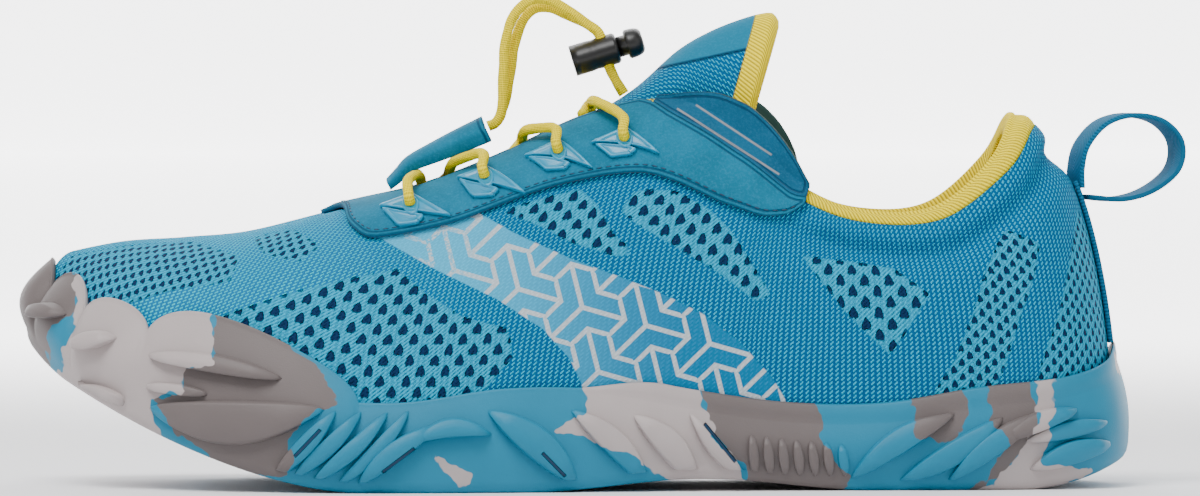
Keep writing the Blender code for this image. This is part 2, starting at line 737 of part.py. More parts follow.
def add_eyelet_cutter(group):
    """One cylinder through each eyelet, along the upper's own normal there."""
    bm = bmesh.new()
    for eyelet in EYELETS:
        for sign in (1, -1):
            place = eyelet.rib * sign % TURN
            out = normal(place, eyelet.share)
            turn = UP.rotation_difference(out).to_matrix().to_4x4()
            turn.translation = skin(place, eyelet.share)
            bmesh.ops.create_cone(bm, cap_ends=True, segments=8, radius1=EYELET_RADIUS,
                                  radius2=EYELET_RADIUS, depth=EYELET_CUT,
                                  matrix=turn)
    return add_object("eyelet_holes", bm, group)


def tongue_edge(number, depth):
    """Half of a tongue section on each side: its flank under the stay."""
    rows = []
    for place in (number, TURN - number):
        rows.append([lining(place, share, depth) for share in (0.80, 0.90, 1.0)])
    return rows


def tongue_section(row, depth):
    """Points across the tongue, the given depth under its top."""
    lateral, medial = tongue_edge(row.rib, TONGUE_CLEAR + depth)
    left, right = lateral[-1], medial[-1]
    middle = (left + right) / 2
    half = (right - left) / 2
    slack = 1 - (TONGUE_CLEAR + depth * 0.7) / max(half.length, 0.004)
    top = Vector((TONGUE_RISE * row.lean, 0, TONGUE_RISE * row.rise))
    arch = []
    for degrees in (180, 150, 120, 90, 60, 30, 0):
        angle = math.radians(degrees)
        arch.append(middle + half * slack * math.cos(angle) + top * math.sin(angle))
    return lateral[:-1] + arch + medial[-2::-1]


def build_tongue(group, finish):
    bm = bmesh.new()
    low, high = [], []
    for row in TONGUE:
        high.append([bm.verts.new(point) for point in tongue_section(row, 0)])
        low.append([bm.verts.new(point)
                    for point in tongue_section(row, row.thick * TONGUE_THICK)])
    close_sheet(bm, low, high)
    return add_object("tongue", bm, group, finish)


def tongue_crown(x):
    """Height of the tongue's crown at a place along the shoe."""
    spots = [tongue_section(row, 0)[5 - 1] for row in TONGUE]
    for near, far in zip(spots, spots[1:]):
        if near.x <= x <= far.x:
            return lerp(near.z, far.z, (x - near.x) / (far.x - near.x))
    return spots[0].z


def throat_place(x, sign):
    """The place on one side where the throat's edge or the ridge is at x."""
    low, high = 5.0, TOE_RIB - 0.5
    for _ in range(24):
        middle = (low + high) / 2
        low, high = (middle, high) if skin(middle * sign % TURN, 1).x > x else (low, middle)
    return low * sign % TURN


def tube(name, points, radius, group, finish=None, sides=1):
    """A round cord along the points, with closed ends."""
    curve = bpy.data.curves.new(name, "CURVE")
    curve.dimensions = "3D"
    curve.bevel_depth = radius
    curve.bevel_resolution = sides
    curve.use_fill_caps = True
    spline = curve.splines.new("POLY")
    spline.points.add(len(points) - 1)
    for spot, point in zip(spline.points, points):
        spot.co = (*point, 1)
    made = bpy.data.objects.new(name, curve)
    group.objects.link(made)
    if finish:
        curve.materials.append(finish)
    return made


def as_mesh(source):
    """A mesh object in place of a curve object, with its caps welded on."""
    graph = bpy.context.evaluated_depsgraph_get()
    mesh = bpy.data.meshes.new_from_object(source.evaluated_get(graph))
    bm = bmesh.new()
    bm.from_mesh(mesh)
    bmesh.ops.remove_doubles(bm, verts=bm.verts, dist=1e-6)
    bm.to_mesh(mesh)
    bm.free()
    name, group = source.name, source.users_collection[0]
    made = bpy.data.objects.new(name + "_mesh", mesh)
    made.matrix_world = source.matrix_world
    group.objects.link(made)
    bpy.data.objects.remove(source)
    made.name = name
    return made


def eyelet_end(index, sign):
    """Where the lace leaves an eyelet: at its mouth, over it, and clear of the plate."""
    place, share = EYELETS[index].rib * sign % TURN, EYELETS[index].share
    plate = SEAT + SUEDE + PLATE_SEAT + PLATE_THICK
    bend = beside(place, share, 0, LACE_RADIUS * 0.4)
    past = beside(place, share, 0, LACE_RADIUS * 2.6)
    return [lifted(place, share, plate + GAP),
            lifted(*bend, plate + GAP + LACE_RADIUS * 1.25),
            lifted(*past, plate + 2 * GAP + LACE_RADIUS * 1.1)]


def over_edge(x, sign):
    """A lace point just over the stay's edge at the throat."""
    return lifted(throat_place(x, sign), 1.0, SEAT + 3 * GAP + SUEDE + LACE_RADIUS)


def on_tongue(x, across):
    """A lace point on the tongue, a share of the way from its crown to the throat's edge."""
    edges = [skin(throat_place(x, sign), 1) for sign in (1, -1)]
    crown = tongue_crown(x) + GAP * 2 + LACE_RADIUS
    middle = (edges[0].y + edges[1].y) / 2
    half = (edges[1].y - edges[0].y) / 2
    return Vector((x, middle + half * across, crown))


def build_bar(group, finish):
    """The first run of the lace, straight across between the front eyelets."""
    start, end = eyelet_end(0, 1), eyelet_end(0, -1)
    x = start[0].x + BAR_SHIFT
    points = [*start, over_edge(x, 1), on_tongue(x, 0), over_edge(x, -1), *reversed(end)]
    tube("lace_bar", curve_through(points, 2), LACE_RADIUS, group, finish)


def crossing_strand(index, sign):
    """From an eyelet over the throat to the far edge, where the lace dips under."""
    start = eyelet_end(index, sign)
    near, far = start[0].x, eyelet_end(index - 1, sign)[0].x
    points = [*start, over_edge(lerp(near, far, CROSS_EDGE), sign),
              on_tongue(lerp(near, far, CROSS_CROWN), 0),
              on_tongue(lerp(near, far, CROSS_END), -CROSS_REACH * sign)]
    return curve_through(points, 2)


def build_crossings(group, finish, cutters):
    for index in range(1, len(EYELETS)):
        one = as_mesh(tube("lace_cross_%d" % index, crossing_strand(index, 1), LACE_RADIUS,
                           group, finish))
        two = as_mesh(tube("strand_%d" % index, crossing_strand(index, -1), LACE_RADIUS,
                           cutters))
        cut(one, two, "UNION")


def build_lace_ends(group, finish):
    """Both runs of the free loop, side by side through the lock."""
    for name, sign in (("lace_end_lateral", -1), ("lace_end_medial", 1)):
        points = [Vector((x, CORD_APART * sign, z)) for x, z in LACE_ROUTE]
        tube(name, points, LACE_RADIUS, group, finish, sides=2)


def lock_matrix(along):
    """A frame on the lock's axis whose Z runs from the barrel to the button."""
    x, z = LACE_ROUTE[LOCK_STOP]
    axis = Vector((math.cos(LOCK_TILT), 0, math.sin(LOCK_TILT)))
    turn = UP.rotation_difference(axis).to_matrix().to_4x4()
    turn.translation = Vector((x, 0, z)) + axis * along
    return turn


def oval(bm, start, end, wide, high, segments=16):
    """An oval cylinder on the lock's axis."""
    made = bmesh.ops.create_cone(bm, cap_ends=True, segments=segments, radius1=1, radius2=1,
                                 depth=end - start)
    bmesh.ops.scale(bm, vec=(high, wide, 1), verts=made["verts"])
    bmesh.ops.transform(bm, matrix=lock_matrix((start + end) / 2), verts=made["verts"])


def slot(bm, start, end, half):
    """A block across the lock's axis, for the opening that the cords pass through."""
    made = bmesh.ops.create_cube(bm, size=1)
    bmesh.ops.scale(bm, vec=(4 * BARREL_HIGH, 2 * half, end - start), verts=made["verts"])
    bmesh.ops.transform(bm, matrix=lock_matrix((start + end) / 2), verts=made["verts"])


def build_lock(group, finish, cutters):
    cord_half = CORD_APART + SLOT_HALF
    bm = bmesh.new()
    oval(bm, -BARREL_FRONT, BARREL_REAR, BARREL_WIDE, BARREL_HIGH)
    barrel = add_object("lock_barrel", bm, group, finish)
    bm = bmesh.new()
    oval(bm, LOCK_WALL - BARREL_FRONT, BARREL_REAR + LOCK_WALL,
         BARREL_WIDE - LOCK_WALL, BARREL_HIGH - LOCK_WALL)
    cut(barrel, add_object("lock_bore", bm, cutters))
    bm = bmesh.new()
    slot(bm, -SLOT_HALF, SLOT_HALF, cord_half)
    cut(barrel, add_object("lock_slot", bm, cutters))

    bm = bmesh.new()
    shaft_wide = BARREL_WIDE - LOCK_WALL - GAP
    shaft_high = BARREL_HIGH - LOCK_WALL - GAP
    neck_end = BARREL_REAR + BUTTON_NECK
    oval(bm, -BUTTON_TIP, neck_end + BUTTON_HEAD / 2, shaft_wide, shaft_high)
    button = add_object("lock_button", bm, group, finish)
    bm = bmesh.new()
    oval(bm, neck_end, neck_end + BUTTON_HEAD, HEAD_WIDE, HEAD_HIGH)
    cut(button, add_object("button_head", bm, cutters), "UNION")
    bm = bmesh.new()
    slot(bm, -SLOT_HALF, SLOT_HALF + BUTTON_TRAVEL, cord_half)
    cut(button, add_object("button_slot", bm, cutters))


def build_keeper(group, finish):
    """The folded tab that the lace's loop tucks into, over the front of the throat."""
    bm = bmesh.new()
    rows = []
    for row in KEEPER:
        x = HEEL_BACK - row.share * LENGTH
        edges = [skin(throat_place(x, sign), 1) for sign in (1, -1)]
        base = (edges[0] + edges[1]) / 2 + UP * row.lift * KEEPER_THICK
        tall = row.thick * KEEPER_THICK
        rows.append([base + Vector((spot.back * tall, spot.across * KEEPER_HALF, spot.up * tall))
                     for spot in KEEPER_SECTION])
    loft(bm, rows)
    close_up(bm)
    return add_object("lace_keeper", bm, group, finish)


def ribbon(bm, spine_points, outs, thick, half):
    """A flat band along the points; outs say which way its outer face looks."""
    rows = []
    for point, out in zip(spine_points, outs):
        wide = Vector((0, half, 0))
        rows.append([point - wide, point + wide, point + wide + out * thick,
                     point - wide + out * thick])
    loft(bm, rows)


def build_heel_tape(group, finish, cutters):
    """The tape up the back seam, with its pull loop."""
    bm = bmesh.new()
    low, high = [], []
    widest = TAPE_HALF / abs(rib(1).foot.y)
    spread_out = [widest * share for share in (-1.0, -0.5, 0.0, 0.5, 1.0)]
    for step in range(9):
        share = lerp(rim_share(0) + TAPE_FROM, TAPE_END, step / 8)
        low.append([bm.verts.new(lifted(place % TURN, share, GAP)) for place in spread_out])
        high.append([bm.verts.new(lifted(place % TURN, share, GAP + TAPE_THICK))
                     for place in spread_out])
    close_sheet(bm, low, high)
    tape = add_object("heel_tape", bm, group, finish)
    root = lifted(0, TAPE_END - 0.03, GAP + TAPE_THICK * 0.45)
    path = curve_through([root + Vector((spot.out * LOOP_OUT, 0, spot.up * LOOP_UP))
                          for spot in LOOP], 2)
    outs = []
    for index, point in enumerate(path):
        ahead = path[min(index + 1, len(path) - 1)] - path[max(index - 1, 0)]
        outs.append(ahead.cross(Vector((0, 1, 0))).normalized())
    bm = bmesh.new()
    ribbon(bm, path, outs, TAPE_THICK, TAPE_HALF - GAP)
    bmesh.ops.recalc_face_normals(bm, faces=bm.faces)
    cut(tape, add_object("pull_loop", bm, cutters), "UNION")
    return tape


def main():
    for old in list(bpy.data.objects):
        bpy.data.objects.remove(old)
    shoe = collection("barefoot_shoe")
    cutters = collection("cutters")
    knit = material("knit", (0.02, 0.30, 0.60), 0.8)
    suede = material("suede", (0.04, 0.28, 0.45), 0.9)
    yellow = material("yellow_cord", (0.90, 0.80, 0.02), 0.6)
    black = material("lock_plastic", (0.02, 0.02, 0.02), 0.4)
    upper = build_upper(shoe, knit)
    outsole = build_outsole(shoe, material("rubber", (0.08, 0.45, 0.65), 0.6))
    cut(outsole, add_leaves(cutters), "UNION")
    cut(outsole, add_grooves(cutters))
    build_insole(shoe, material("foam", (0.75, 0.72, 0.05), 0.9))
    holes = add_eyelet_cutter(cutters)
    stay = build_eyestay(shoe, suede)
    cut(upper, holes)
    cut(stay, holes)
    glossy = material("plate", (0.10, 0.50, 0.72), 0.3)
    for name, sign in (("lateral", 1), ("medial", -1)):
        build_wing(shoe, material("wing_suede", (0.03, 0.20, 0.36), 0.9),
                   "ankle_wing_" + name, sign)
        for index, eyelet in enumerate(EYELETS, 1):
            plate = build_plate(shoe, glossy, "eyelet_plate_%s_%d" % (name, index),
                                eyelet.rib * sign % TURN, eyelet.share)
            cut(plate, holes)
    build_tongue(shoe, knit)
    build_bar(shoe, yellow)
    build_crossings(shoe, yellow, cutters)
    build_lace_ends(shoe, yellow)
    build_lock(shoe, black, cutters)
    build_keeper(shoe, suede)
    build_heel_tape(shoe, material("tape", (0.04, 0.30, 0.50), 0.8), cutters)


main()
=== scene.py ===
"""The looks of a left barefoot shoe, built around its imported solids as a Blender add-on."""

import math
from collections import namedtuple

import bmesh
import bpy
import numpy as np
from bpy.props import FloatProperty, FloatVectorProperty, PointerProperty
from mathutils import Matrix, Vector


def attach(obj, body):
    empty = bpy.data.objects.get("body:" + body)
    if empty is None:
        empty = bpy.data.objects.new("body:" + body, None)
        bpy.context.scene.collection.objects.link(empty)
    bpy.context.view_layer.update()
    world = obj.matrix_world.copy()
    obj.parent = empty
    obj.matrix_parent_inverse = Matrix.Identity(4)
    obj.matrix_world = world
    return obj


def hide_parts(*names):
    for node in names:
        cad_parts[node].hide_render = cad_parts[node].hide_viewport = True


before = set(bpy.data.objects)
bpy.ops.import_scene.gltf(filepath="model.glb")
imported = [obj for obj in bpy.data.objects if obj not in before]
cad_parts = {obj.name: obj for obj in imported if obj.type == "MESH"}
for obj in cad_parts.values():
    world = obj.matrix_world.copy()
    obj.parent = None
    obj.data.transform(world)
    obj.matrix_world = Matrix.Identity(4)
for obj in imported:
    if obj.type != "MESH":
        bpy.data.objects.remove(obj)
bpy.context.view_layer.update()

bl_info = {
    "name": "Barefoot shoe",
    "version": (1, 0, 0),
    "blender": (4, 5, 0),
    "location": "3D View > Sidebar > Shoe",
    "description": "Builds a knit barefoot shoe with a moulded sole and elastic lace",
    "category": "Add Mesh",
}

# The last and the sole, in metres: toe along -X, outer side along -Y, ground at Z = 0
LENGTH = 0.280
BALL_WIDTH = 0.102
HEEL_HEIGHT = 0.0925
INSTEP_HEIGHT = 0.097
TOE_SPRING = 0.031
ARCH_RISE = 0.003
BASE_THICK = 0.0085
RIM_HEIGHT = 0.026
LOBE_HEIGHT = 0.0105
LOBE_POWER = 0.55
HEEL_BACK = 0.136 * LENGTH
SPRING_START = 0.693
SPRING_END = 0.98
SPRING_POWER = 1.65
HEEL_ROLL = 0.009
HEEL_ROLL_END = 0.11
TOE_ROLL = 0.005
TOE_ROLL_START = 0.95
ARCH_START = 0.236
ARCH_END = 0.546
GROOVE_DEPTH = 0.0022
GROOVE_WIDTH = 0.0034
GROOVE_LEAN = 0.0084
GROOVE_REACH = BALL_WIDTH * 0.62
GROOVES = [0.065, 0.105, 0.165, 0.205] + [0.575 + 0.035 * step for step in range(9)]

# Walls and clearances
GAP = 0.0003
SEAT = 0.00055
KNIT_WALL = 0.002
RIM_WALL = 0.0016
RIM_ROUND = 0.45
SIDE_OUT = 0.0036
SIDE_BULGE = 0.0013
EDGE_HEIGHT = 0.0024
EDGE_TUCK = 0.0016
INSOLE_THICK = 0.003
INSOLE_CLEAR = 0.0012
SUEDE = 0.001
PLATE_SEAT = 0.0005
PLATE_THICK = 0.0008
TAPE_THICK = 0.0012
TAPE_HALF = 0.006
TAPE_FROM = 0.035
TAPE_END = 0.60
LACE_RADIUS = 0.00145
BRAID_RADIUS = 0.00125
BRAID_RELIEF = BRAID_RADIUS * 0.06
BAR_SHIFT = 0.003

# Fine scales of the looks: the lace's strands, the jersey's ribs, the tape's twill and the
# insole's dimples
STRANDS = 10
STRAND_PITCH = 0.0011
JERSEY_RIB = 0.00105
TWILL = 0.0009
DIMPLE_CELL = (0.004, 0.007)
DIMPLE_EDGE = (0.0009, 0.0006)
# The nap's noise: scale, detail and roughness
NAP = (1500.0, 4.0, 0.7)
# Which heights of the yarn are in its lighter tone, and bumps as depth and strength. The raised
# loops take the lighter tone and their hollows the deeper one: partly the two yarns, partly painted
# highlight and painted shade
LIGHT_YARN = (0.18, 0.42)
YARN_BUMP = (0.00045, 0.9)
JERSEY_BUMP = (0.00022, 0.6)
# Where along the shoe looks change: the toes' tone, the print's start, specks and tone
TOE_TONE = (-0.105, -0.190)
PRINT_START = (-0.150, -0.136)
PRINT_SPECKS = (-0.142, -0.120)
PRINT_TONE = (-0.140, -0.070)

# The cord lock
LOCK_TILT = math.radians(17)
BARREL_WIDE = 0.0060
BARREL_HIGH = 0.0039
BARREL_FRONT = 0.0083
BARREL_REAR = 0.0032
BARREL_WALL = 0.001
BARREL_FLOOR = -0.003
NOSE_DIP = 0.0006
NOSE_ROUND = 0.0016
NOSE_END = 0.002
MOUTH_START = 0.0006
MOUTH_EDGE = 0.0005
WAIST_AT = -0.0026
WAIST_WIDE = 0.0009
WAIST_DEPTH = 0.00015
CORD_APART = 0.0017
BUTTON_NECK = 0.0024
BUTTON_HEAD = 0.0045
HEAD_WIDE = 0.0051
HEAD_HIGH = 0.0037
HEAD_START = 0.0001
HEAD_EDGE = 0.0004
HEAD_CROWN = 0.0012
HEAD_POWER = 0.35

# The padded collar
ROLL_HEIGHT = 0.010
CREASE_DEPTH = 0.0034
CREASE_WIDTH = 0.0034
LIP_IN = 0.004
LIP_DOWN = 0.0045
CREST = 0.004
PIPING = 0.0024
PIPING_RIB = 5.2
PIPING_FADE = 0.5
PIPING_SWELL = 0.0008
PIPING_SINK = 0.0002
COLLAR_RIB = 4.5
PAD_RIB = 6.3
LIP_SHARE = 0.97
LINING_CLEAR = 0.0012
# How far over the collar's roll the knit reaches, and where the lining starts
KNIT_LAP = 0.36
LINING_LAP = 0.34

# One row for each rib of the last from the back of the heel to the tip of the toes. The x
# columns are shares of LENGTH, the y columns and swell shares of BALL_WIDTH, top_z a share of
# HEEL_HEIGHT up to rib 5 and of INSTEP_HEIGHT after it, and the rim columns of RIM_HEIGHT.
Section = namedtuple(
    "Section", "lat_x lat_y med_x med_y top_x top_lat top_med top_z full swell rim_lat rim_med")
SECTIONS = (
    Section(0.018, 0.000, 0.018, 0.000, 0.107, 0.000, 0.000, 1.000, 0.94, 0.00, 0.86, 0.86),
    Section(0.032, -0.167, 0.032, 0.167, 0.111, -0.137, 0.137, 0.984, 0.95, 0.00, 0.67, 0.67),
    Section(0.075, -0.275, 0.075, 0.270, 0.132, -0.245, 0.240, 0.876, 0.92, 0.02, 0.54, 0.54),
    Section(0.146, -0.324, 0.146, 0.304, 0.182, -0.284, 0.275, 0.751, 0.80, 0.03, 0.46, 0.46),
    Section(0.229, -0.338, 0.229, 0.294, 0.243, -0.289, 0.275, 0.738, 0.75, 0.03, 0.32, 0.42),
    Section(0.314, -0.353, 0.314, 0.265, 0.296, -0.275, 0.265, 0.795, 0.70, 0.02, 0.32, 0.50),
    Section(0.400, -0.382, 0.400, 0.250, 0.350, -0.235, 0.235, 0.887, 0.60, 0.02, 0.44, 0.65),
    Section(0.486, -0.426, 0.486, 0.275, 0.411, -0.172, 0.176, 0.987, 0.55, 0.02, 0.60, 0.65),
    Section(0.571, -0.471, 0.571, 0.333, 0.482, -0.127, 0.137, 0.951, 0.60, 0.01, 0.61, 0.60),
    Section(0.657, -0.490, 0.657, 0.392, 0.564, -0.108, 0.118, 0.843, 0.70, 0.00, 0.48, 0.58),
    Section(0.736, -0.471, 0.743, 0.431, 0.625, -0.088, 0.108, 0.771, 0.85, 0.00, 0.50, 0.54),
    Section(0.807, -0.412, 0.821, 0.436, 0.671, 0.010, 0.010, 0.730, 1.00, 0.00, 0.54, 0.50),
    Section(0.868, -0.324, 0.886, 0.402, 0.768, 0.030, 0.030, 0.660, 1.05, 0.00, 0.54, 0.50),
    Section(0.918, -0.206, 0.936, 0.338, 0.839, 0.060, 0.060, 0.639, 1.05, 0.00, 0.42, 0.46),
    Section(0.954, -0.069, 0.966, 0.245, 0.896, 0.085, 0.085, 0.629, 1.00, 0.00, 0.35, 0.38),
    Section(0.979, 0.098, 0.979, 0.098, 0.946, 0.105, 0.105, 0.603, 1.00, 0.00, 0.35, 0.35),
)
TOE_RIB = len(SECTIONS) - 1
TURN = 2 * TOE_RIB
LAST_HEEL_RIB = 5
THROAT_RIB = 11

# The rubber lobes over the toes: places, rise as a share of LOBE_HEIGHT, and outward swell
Lobe = namedtuple("Lobe", "start end rise out")
LOBES = (
    Lobe(9.5, 12.25, 1.00, 1.3), Lobe(12.25, 13.5, 0.52, 2.2), Lobe(13.5, 14.5, 0.67, 2.4),
    Lobe(14.5, 15.5, 0.62, 2.4), Lobe(15.5, 20.25, 0.90, 1.5),
)

# Raised flames along the sole's side, seen from the side: both ends, how far the middle
# bows, half the width, how far it stands out, and how blunt its ends are from 0 to 1
Flame = namedtuple("Flame", "x z end_x end_z bow wide high blunt")
FLAMES = (
    Flame(-0.2385, 0.0435, -0.2300, 0.0429, 0.0006, 0.0020, 0.0033, 0.0),
    Flame(-0.2263, 0.0352, -0.2168, 0.0375, 0.0006, 0.0023, 0.0036, 0.0),
    Flame(-0.2257, 0.0245, -0.2137, 0.0216, 0.0002, 0.0023, 0.0030, 0.8),
    Flame(-0.2084, 0.0335, -0.1757, 0.0280, 0.0008, 0.0022, 0.0030, 0.3),
    Flame(-0.2077, 0.0258, -0.1925, 0.0240, 0.0002, 0.0014, 0.0018, 0.5),
    Flame(-0.2067, 0.0205, -0.1645, 0.0205, -0.0034, 0.0055, 0.0024, 0.0),
    Flame(-0.1750, 0.0039, -0.1618, 0.0202, -0.0006, 0.0024, 0.0026, 0.1),
    Flame(-0.1704, 0.0039, -0.1557, 0.0200, -0.0008, 0.0023, 0.0021, 0.1),
    Flame(-0.1657, 0.0028, -0.1492, 0.0198, -0.0008, 0.0022, 0.0029, 0.1),
    Flame(-0.1598, 0.0022, -0.1440, 0.0202, -0.0010, 0.0021, 0.0021, 0.1),
    Flame(-0.1552, 0.0022, -0.1372, 0.0164, 0.0010, 0.0027, 0.0029, 0.1),
    Flame(-0.1430, 0.0126, -0.1232, 0.0144, 0.0026, 0.0024, 0.0030, 0.0),
    Flame(-0.1245, 0.0202, -0.1012, 0.0020, 0.0014, 0.0038, 0.0027, 0.0),
    Flame(-0.1039, 0.0202, -0.0839, 0.0020, 0.0014, 0.0031, 0.0021, 0.0),
    Flame(-0.0885, 0.0190, -0.0719, 0.0020, 0.0014, 0.0034, 0.0024, 0.0),
    Flame(-0.0745, 0.0192, -0.0600, 0.0030, -0.0010, 0.0020, 0.0027, 0.1),
    Flame(-0.0345, 0.0030, -0.0085, 0.0190, 0.0016, 0.0031, 0.0024, 0.0),
    Flame(-0.0225, 0.0022, 0.0035, 0.0180, -0.0010, 0.0030, 0.0024, 0.0),
    Flame(-0.0105, 0.0022, 0.0130, 0.0190, 0.0010, 0.0028, 0.0028, 0.0),
    Flame(0.0020, 0.0118, 0.0225, 0.0199, 0.0010, 0.0024, 0.0030, 0.0),
    Flame(0.0088, 0.0121, 0.0300, 0.0165, 0.0004, 0.0022, 0.0021, 0.0),
    Flame(0.0100, 0.0050, 0.0305, 0.0112, 0.0010, 0.0030, 0.0027, 0.0),
)
TEETH_START = -0.0592
TEETH_STEP = 0.0037
TEETH_FALL = 0.0004
TEETH = 7
TOOTH = Flame(0.0, 0.0138, 0.0012, 0.0036, 0.0, 0.0013, 0.0015, 0.4)
# Across a flame: share of its half width, and of how far it stands out
FLAME_SECTION = (
    (-1.0, -0.35), (-0.98, 0.4), (-0.9, 0.88), (-0.8, 0.98), (0.0, 1.02), (0.8, 0.98),
    (0.9, 0.88), (0.98, 0.4), (1.0, -0.35),
)
FLAME_SINK = 0.0006
FLAME_ROOT = 0.0008
SLIT_HALF = 0.0004
RUBBER_BLUR = 0.00015
# Narrow slots pressed into the flames, seen from the side: both ends
SLITS = (
    ((-0.1715, 0.0090), (-0.1650, 0.0158)), ((-0.1500, 0.0052), (-0.1420, 0.0112)),
    ((-0.1108, 0.0100), (-0.1050, 0.0040)), ((-0.0708, 0.0168), (-0.0630, 0.0072)),
)

# Outlines of the light and the warm grey rubber seen from the side, in tenths of a millimetre
TENTHS = 10000
LIGHT_RUBBER = (
    ((-2275, 420), (-2265, 520), (-2157, 540), (-2060, 490), (-1917, 470), (-1917, 315),
     (-1990, 302), (-1990, 242), (-2067, 229), (-2060, 189), (-2024, 105), (-2184, 155),
     (-2270, 216), (-2303, 282), (-2283, 355)),
    ((-1020, 330), (-740, 330), (-686, 141), (-612, 61), (-599, 10), (-732, 10), (-819, 47),
     (-885, 87), (-932, 107), (-1012, 137), (-1072, 151), (-1045, 174), (-1005, 194)),
    ((-1392, 101), (-1365, 98), (-1338, 73), (-1275, 45), (-1285, 12), (-1312, 19), (-1345, 54)),
    ((98, 330), (175, 330), (150, 131), (129, 63), (204, 63), (259, 35), (122, -10), (-35, -10),
     (27, 35), (95, 117), (122, 172)),
    ((330, 335), (347, 430), (440, 430), (440, 271), (330, 276)),
)
WARM_RUBBER = (
    ((-2450, 560), (-2363, 600), (-2270, 560), (-2255, 435), (-2283, 422), (-2330, 409),
     (-2340, 369), (-2330, 289), (-2383, 320), (-2450, 395)),
    ((-1917, 470), (-1760, 400), (-1641, 290), (-1615, 216), (-1697, 182), (-1724, 129),
     (-1724, 30), (-1824, 46), (-1924, 80), (-2024, 166), (-2067, 227), (-1990, 242),
     (-1990, 302), (-1917, 315)),
    ((-740, 330), (-470, 300), (-423, 170), (-403, 110), (-355, 35), (-370, -10), (-599, -10),
     (-612, 61), (-686, 141)),
    ((-195, 300), (-60, 300), (-69, 151), (-89, 124), (-150, 131), (-191, 117)),
    ((-5, 330), (98, 330), (122, 172), (95, 117), (27, 35), (-41, -10), (-60, -10), (6, 49),
     (40, 103), (34, 151), (0, 138)),
)

# Zones of the knit as such outlines: openwork with wide and fine holes, and the printed band
WIDE_ZONES = (
    ((-1917, 395), (-1884, 435), (-1717, 489), (-1584, 522), (-1465, 545), (-1398, 490),
     (-1305, 430), (-1192, 400), (-1179, 334), (-1252, 247), (-1372, 220), (-1517, 200),
     (-1664, 230), (-1784, 305)),
    ((-1205, 690), (-1105, 720), (-1012, 743), (-972, 707), (-932, 634), (-879, 587),
     (-919, 577), (-1039, 614), (-1105, 650)),
    ((-912, 690), (-872, 740), (-779, 740), (-692, 693), (-639, 640), (-599, 574), (-542, 484),
     (-579, 467), (-679, 544), (-785, 607), (-872, 657)),
    ((-464, 577), (-348, 564), (-239, 547), (-150, 482), (-191, 417), (-246, 335), (-300, 383),
     (-355, 438), (-410, 509)),
)
FINE_ZONES = (
    ((-2330, 502), (-2283, 569), (-2157, 595), (-1984, 609), (-1857, 575), (-1877, 515),
     (-2024, 492), (-2184, 442), (-2237, 405), (-2297, 440)),
    ((-1824, 619), (-1724, 642), (-1657, 602), (-1704, 565), (-1790, 582)),
    ((40, 642), (126, 608), (112, 526), (75, 424), (40, 308), (-14, 200), (-150, 182),
     (-137, 240), (-82, 328), (-41, 438), (-7, 547)),
    ((231, 690), (269, 635), (310, 472), (334, 328), (335, 200), (105, 200), (136, 328),
     (177, 438), (211, 588)),
)
BAND = (
    (-1560, 650), (-1492, 614), (-1372, 547), (-1219, 474), (-1105, 400), (-1039, 327),
    (-1005, 254), (-1000, 120), (-470, 120), (-479, 180), (-539, 280), (-619, 367), (-706, 434),
    (-805, 484), (-905, 524), (-1039, 574), (-1172, 634), (-1272, 690), (-1400, 720),
)
HOLE_FRAY = 0.0005
HOLE_GROWTH = 0.00022
YARN_TURNS = 5600.0
LATTICE_AT = (-0.1008, 0.0453)
LATTICE_TURN = math.radians(76)

# How far down each rib the suede stay reaches, and its seam with the ankle wing
STAY_TAIL = 5.0
STAY_FRONT = 11.5
STAY_LOW = (
    (STAY_TAIL, 0.90), (5.12, 0.79), (5.5, 0.70), (6.0, 0.68), (7.0, 0.69), (8.0, 0.67),
    (9.0, 0.635), (10.0, 0.62), (10.5, 0.70), (11.0, 0.83),
    (STAY_FRONT, 0.97),
)
STITCH_INSET = 0.022
STITCH_LIFT = 0.00006
STAY_SEAM = (
    (STAY_TAIL, 0.935), (5.12, 0.876), (5.6, 0.886), (6.3, 0.896), (6.7, 0.90), (7.0, 0.92),
    (7.4, 1.0),
)
WING_END = 7.25
WING_RISE = 0.0082
WING_SEAM = 0.002
WING_LEAN = 0.12
FAR_WING = np.array((0.0045, 0.0, 0.0015))
WING_TOP = (
    (5.0, 0.05), (5.12, 0.42), (5.3, 0.72), (5.6, 0.94), (6.0, 1.0), (6.4, 0.76), (6.8, 0.30),
    (7.1, 0.04),
)
# Silver lines on the wing, seen from the side: both ends
WING_LINES = (((-0.0771, 0.0943), (-0.0517, 0.0778)), ((-0.0724, 0.0952), (-0.0535, 0.0826)))
WING_LINE_HALF = 0.00026

# Eyelets on each side from the toe end, as rib and share up it
EYELETS = ((9.66, 0.734), (8.83, 0.783), (8.09, 0.788), (7.36, 0.794))
# Corners of the two raised pads of an eyelet plate, along the shoe and up, from the hole
PLATE_PEAK = ((0.0003, 0.0036), (0.0087, -0.0022), (0.0020, -0.0016), (-0.0083, -0.0007))
PLATE_SQUASH = 0.78
PAD_ROUND = 0.0007
PAD_SINK = 0.0002
PLATE_FOOT = ((-0.0073, -0.0013), (0.0030, -0.0023), (0.0012, -0.0041), (-0.0035, -0.0051))

# The tongue: rise and lean of its crown as shares of TONGUE_RISE, thickness of TONGUE_THICK
TongueRow = namedtuple("TongueRow", "rib rise lean thick")
TONGUE_RISE = 0.0396
TONGUE_THICK = 0.008
TONGUE_CLEAR = 0.0008
TONGUE_EDGE = 0.0070
# Thickness left in the last rows before the tongue's tip
TIP_ROUND = (0.93, 0.82, 0.62, 0.30)
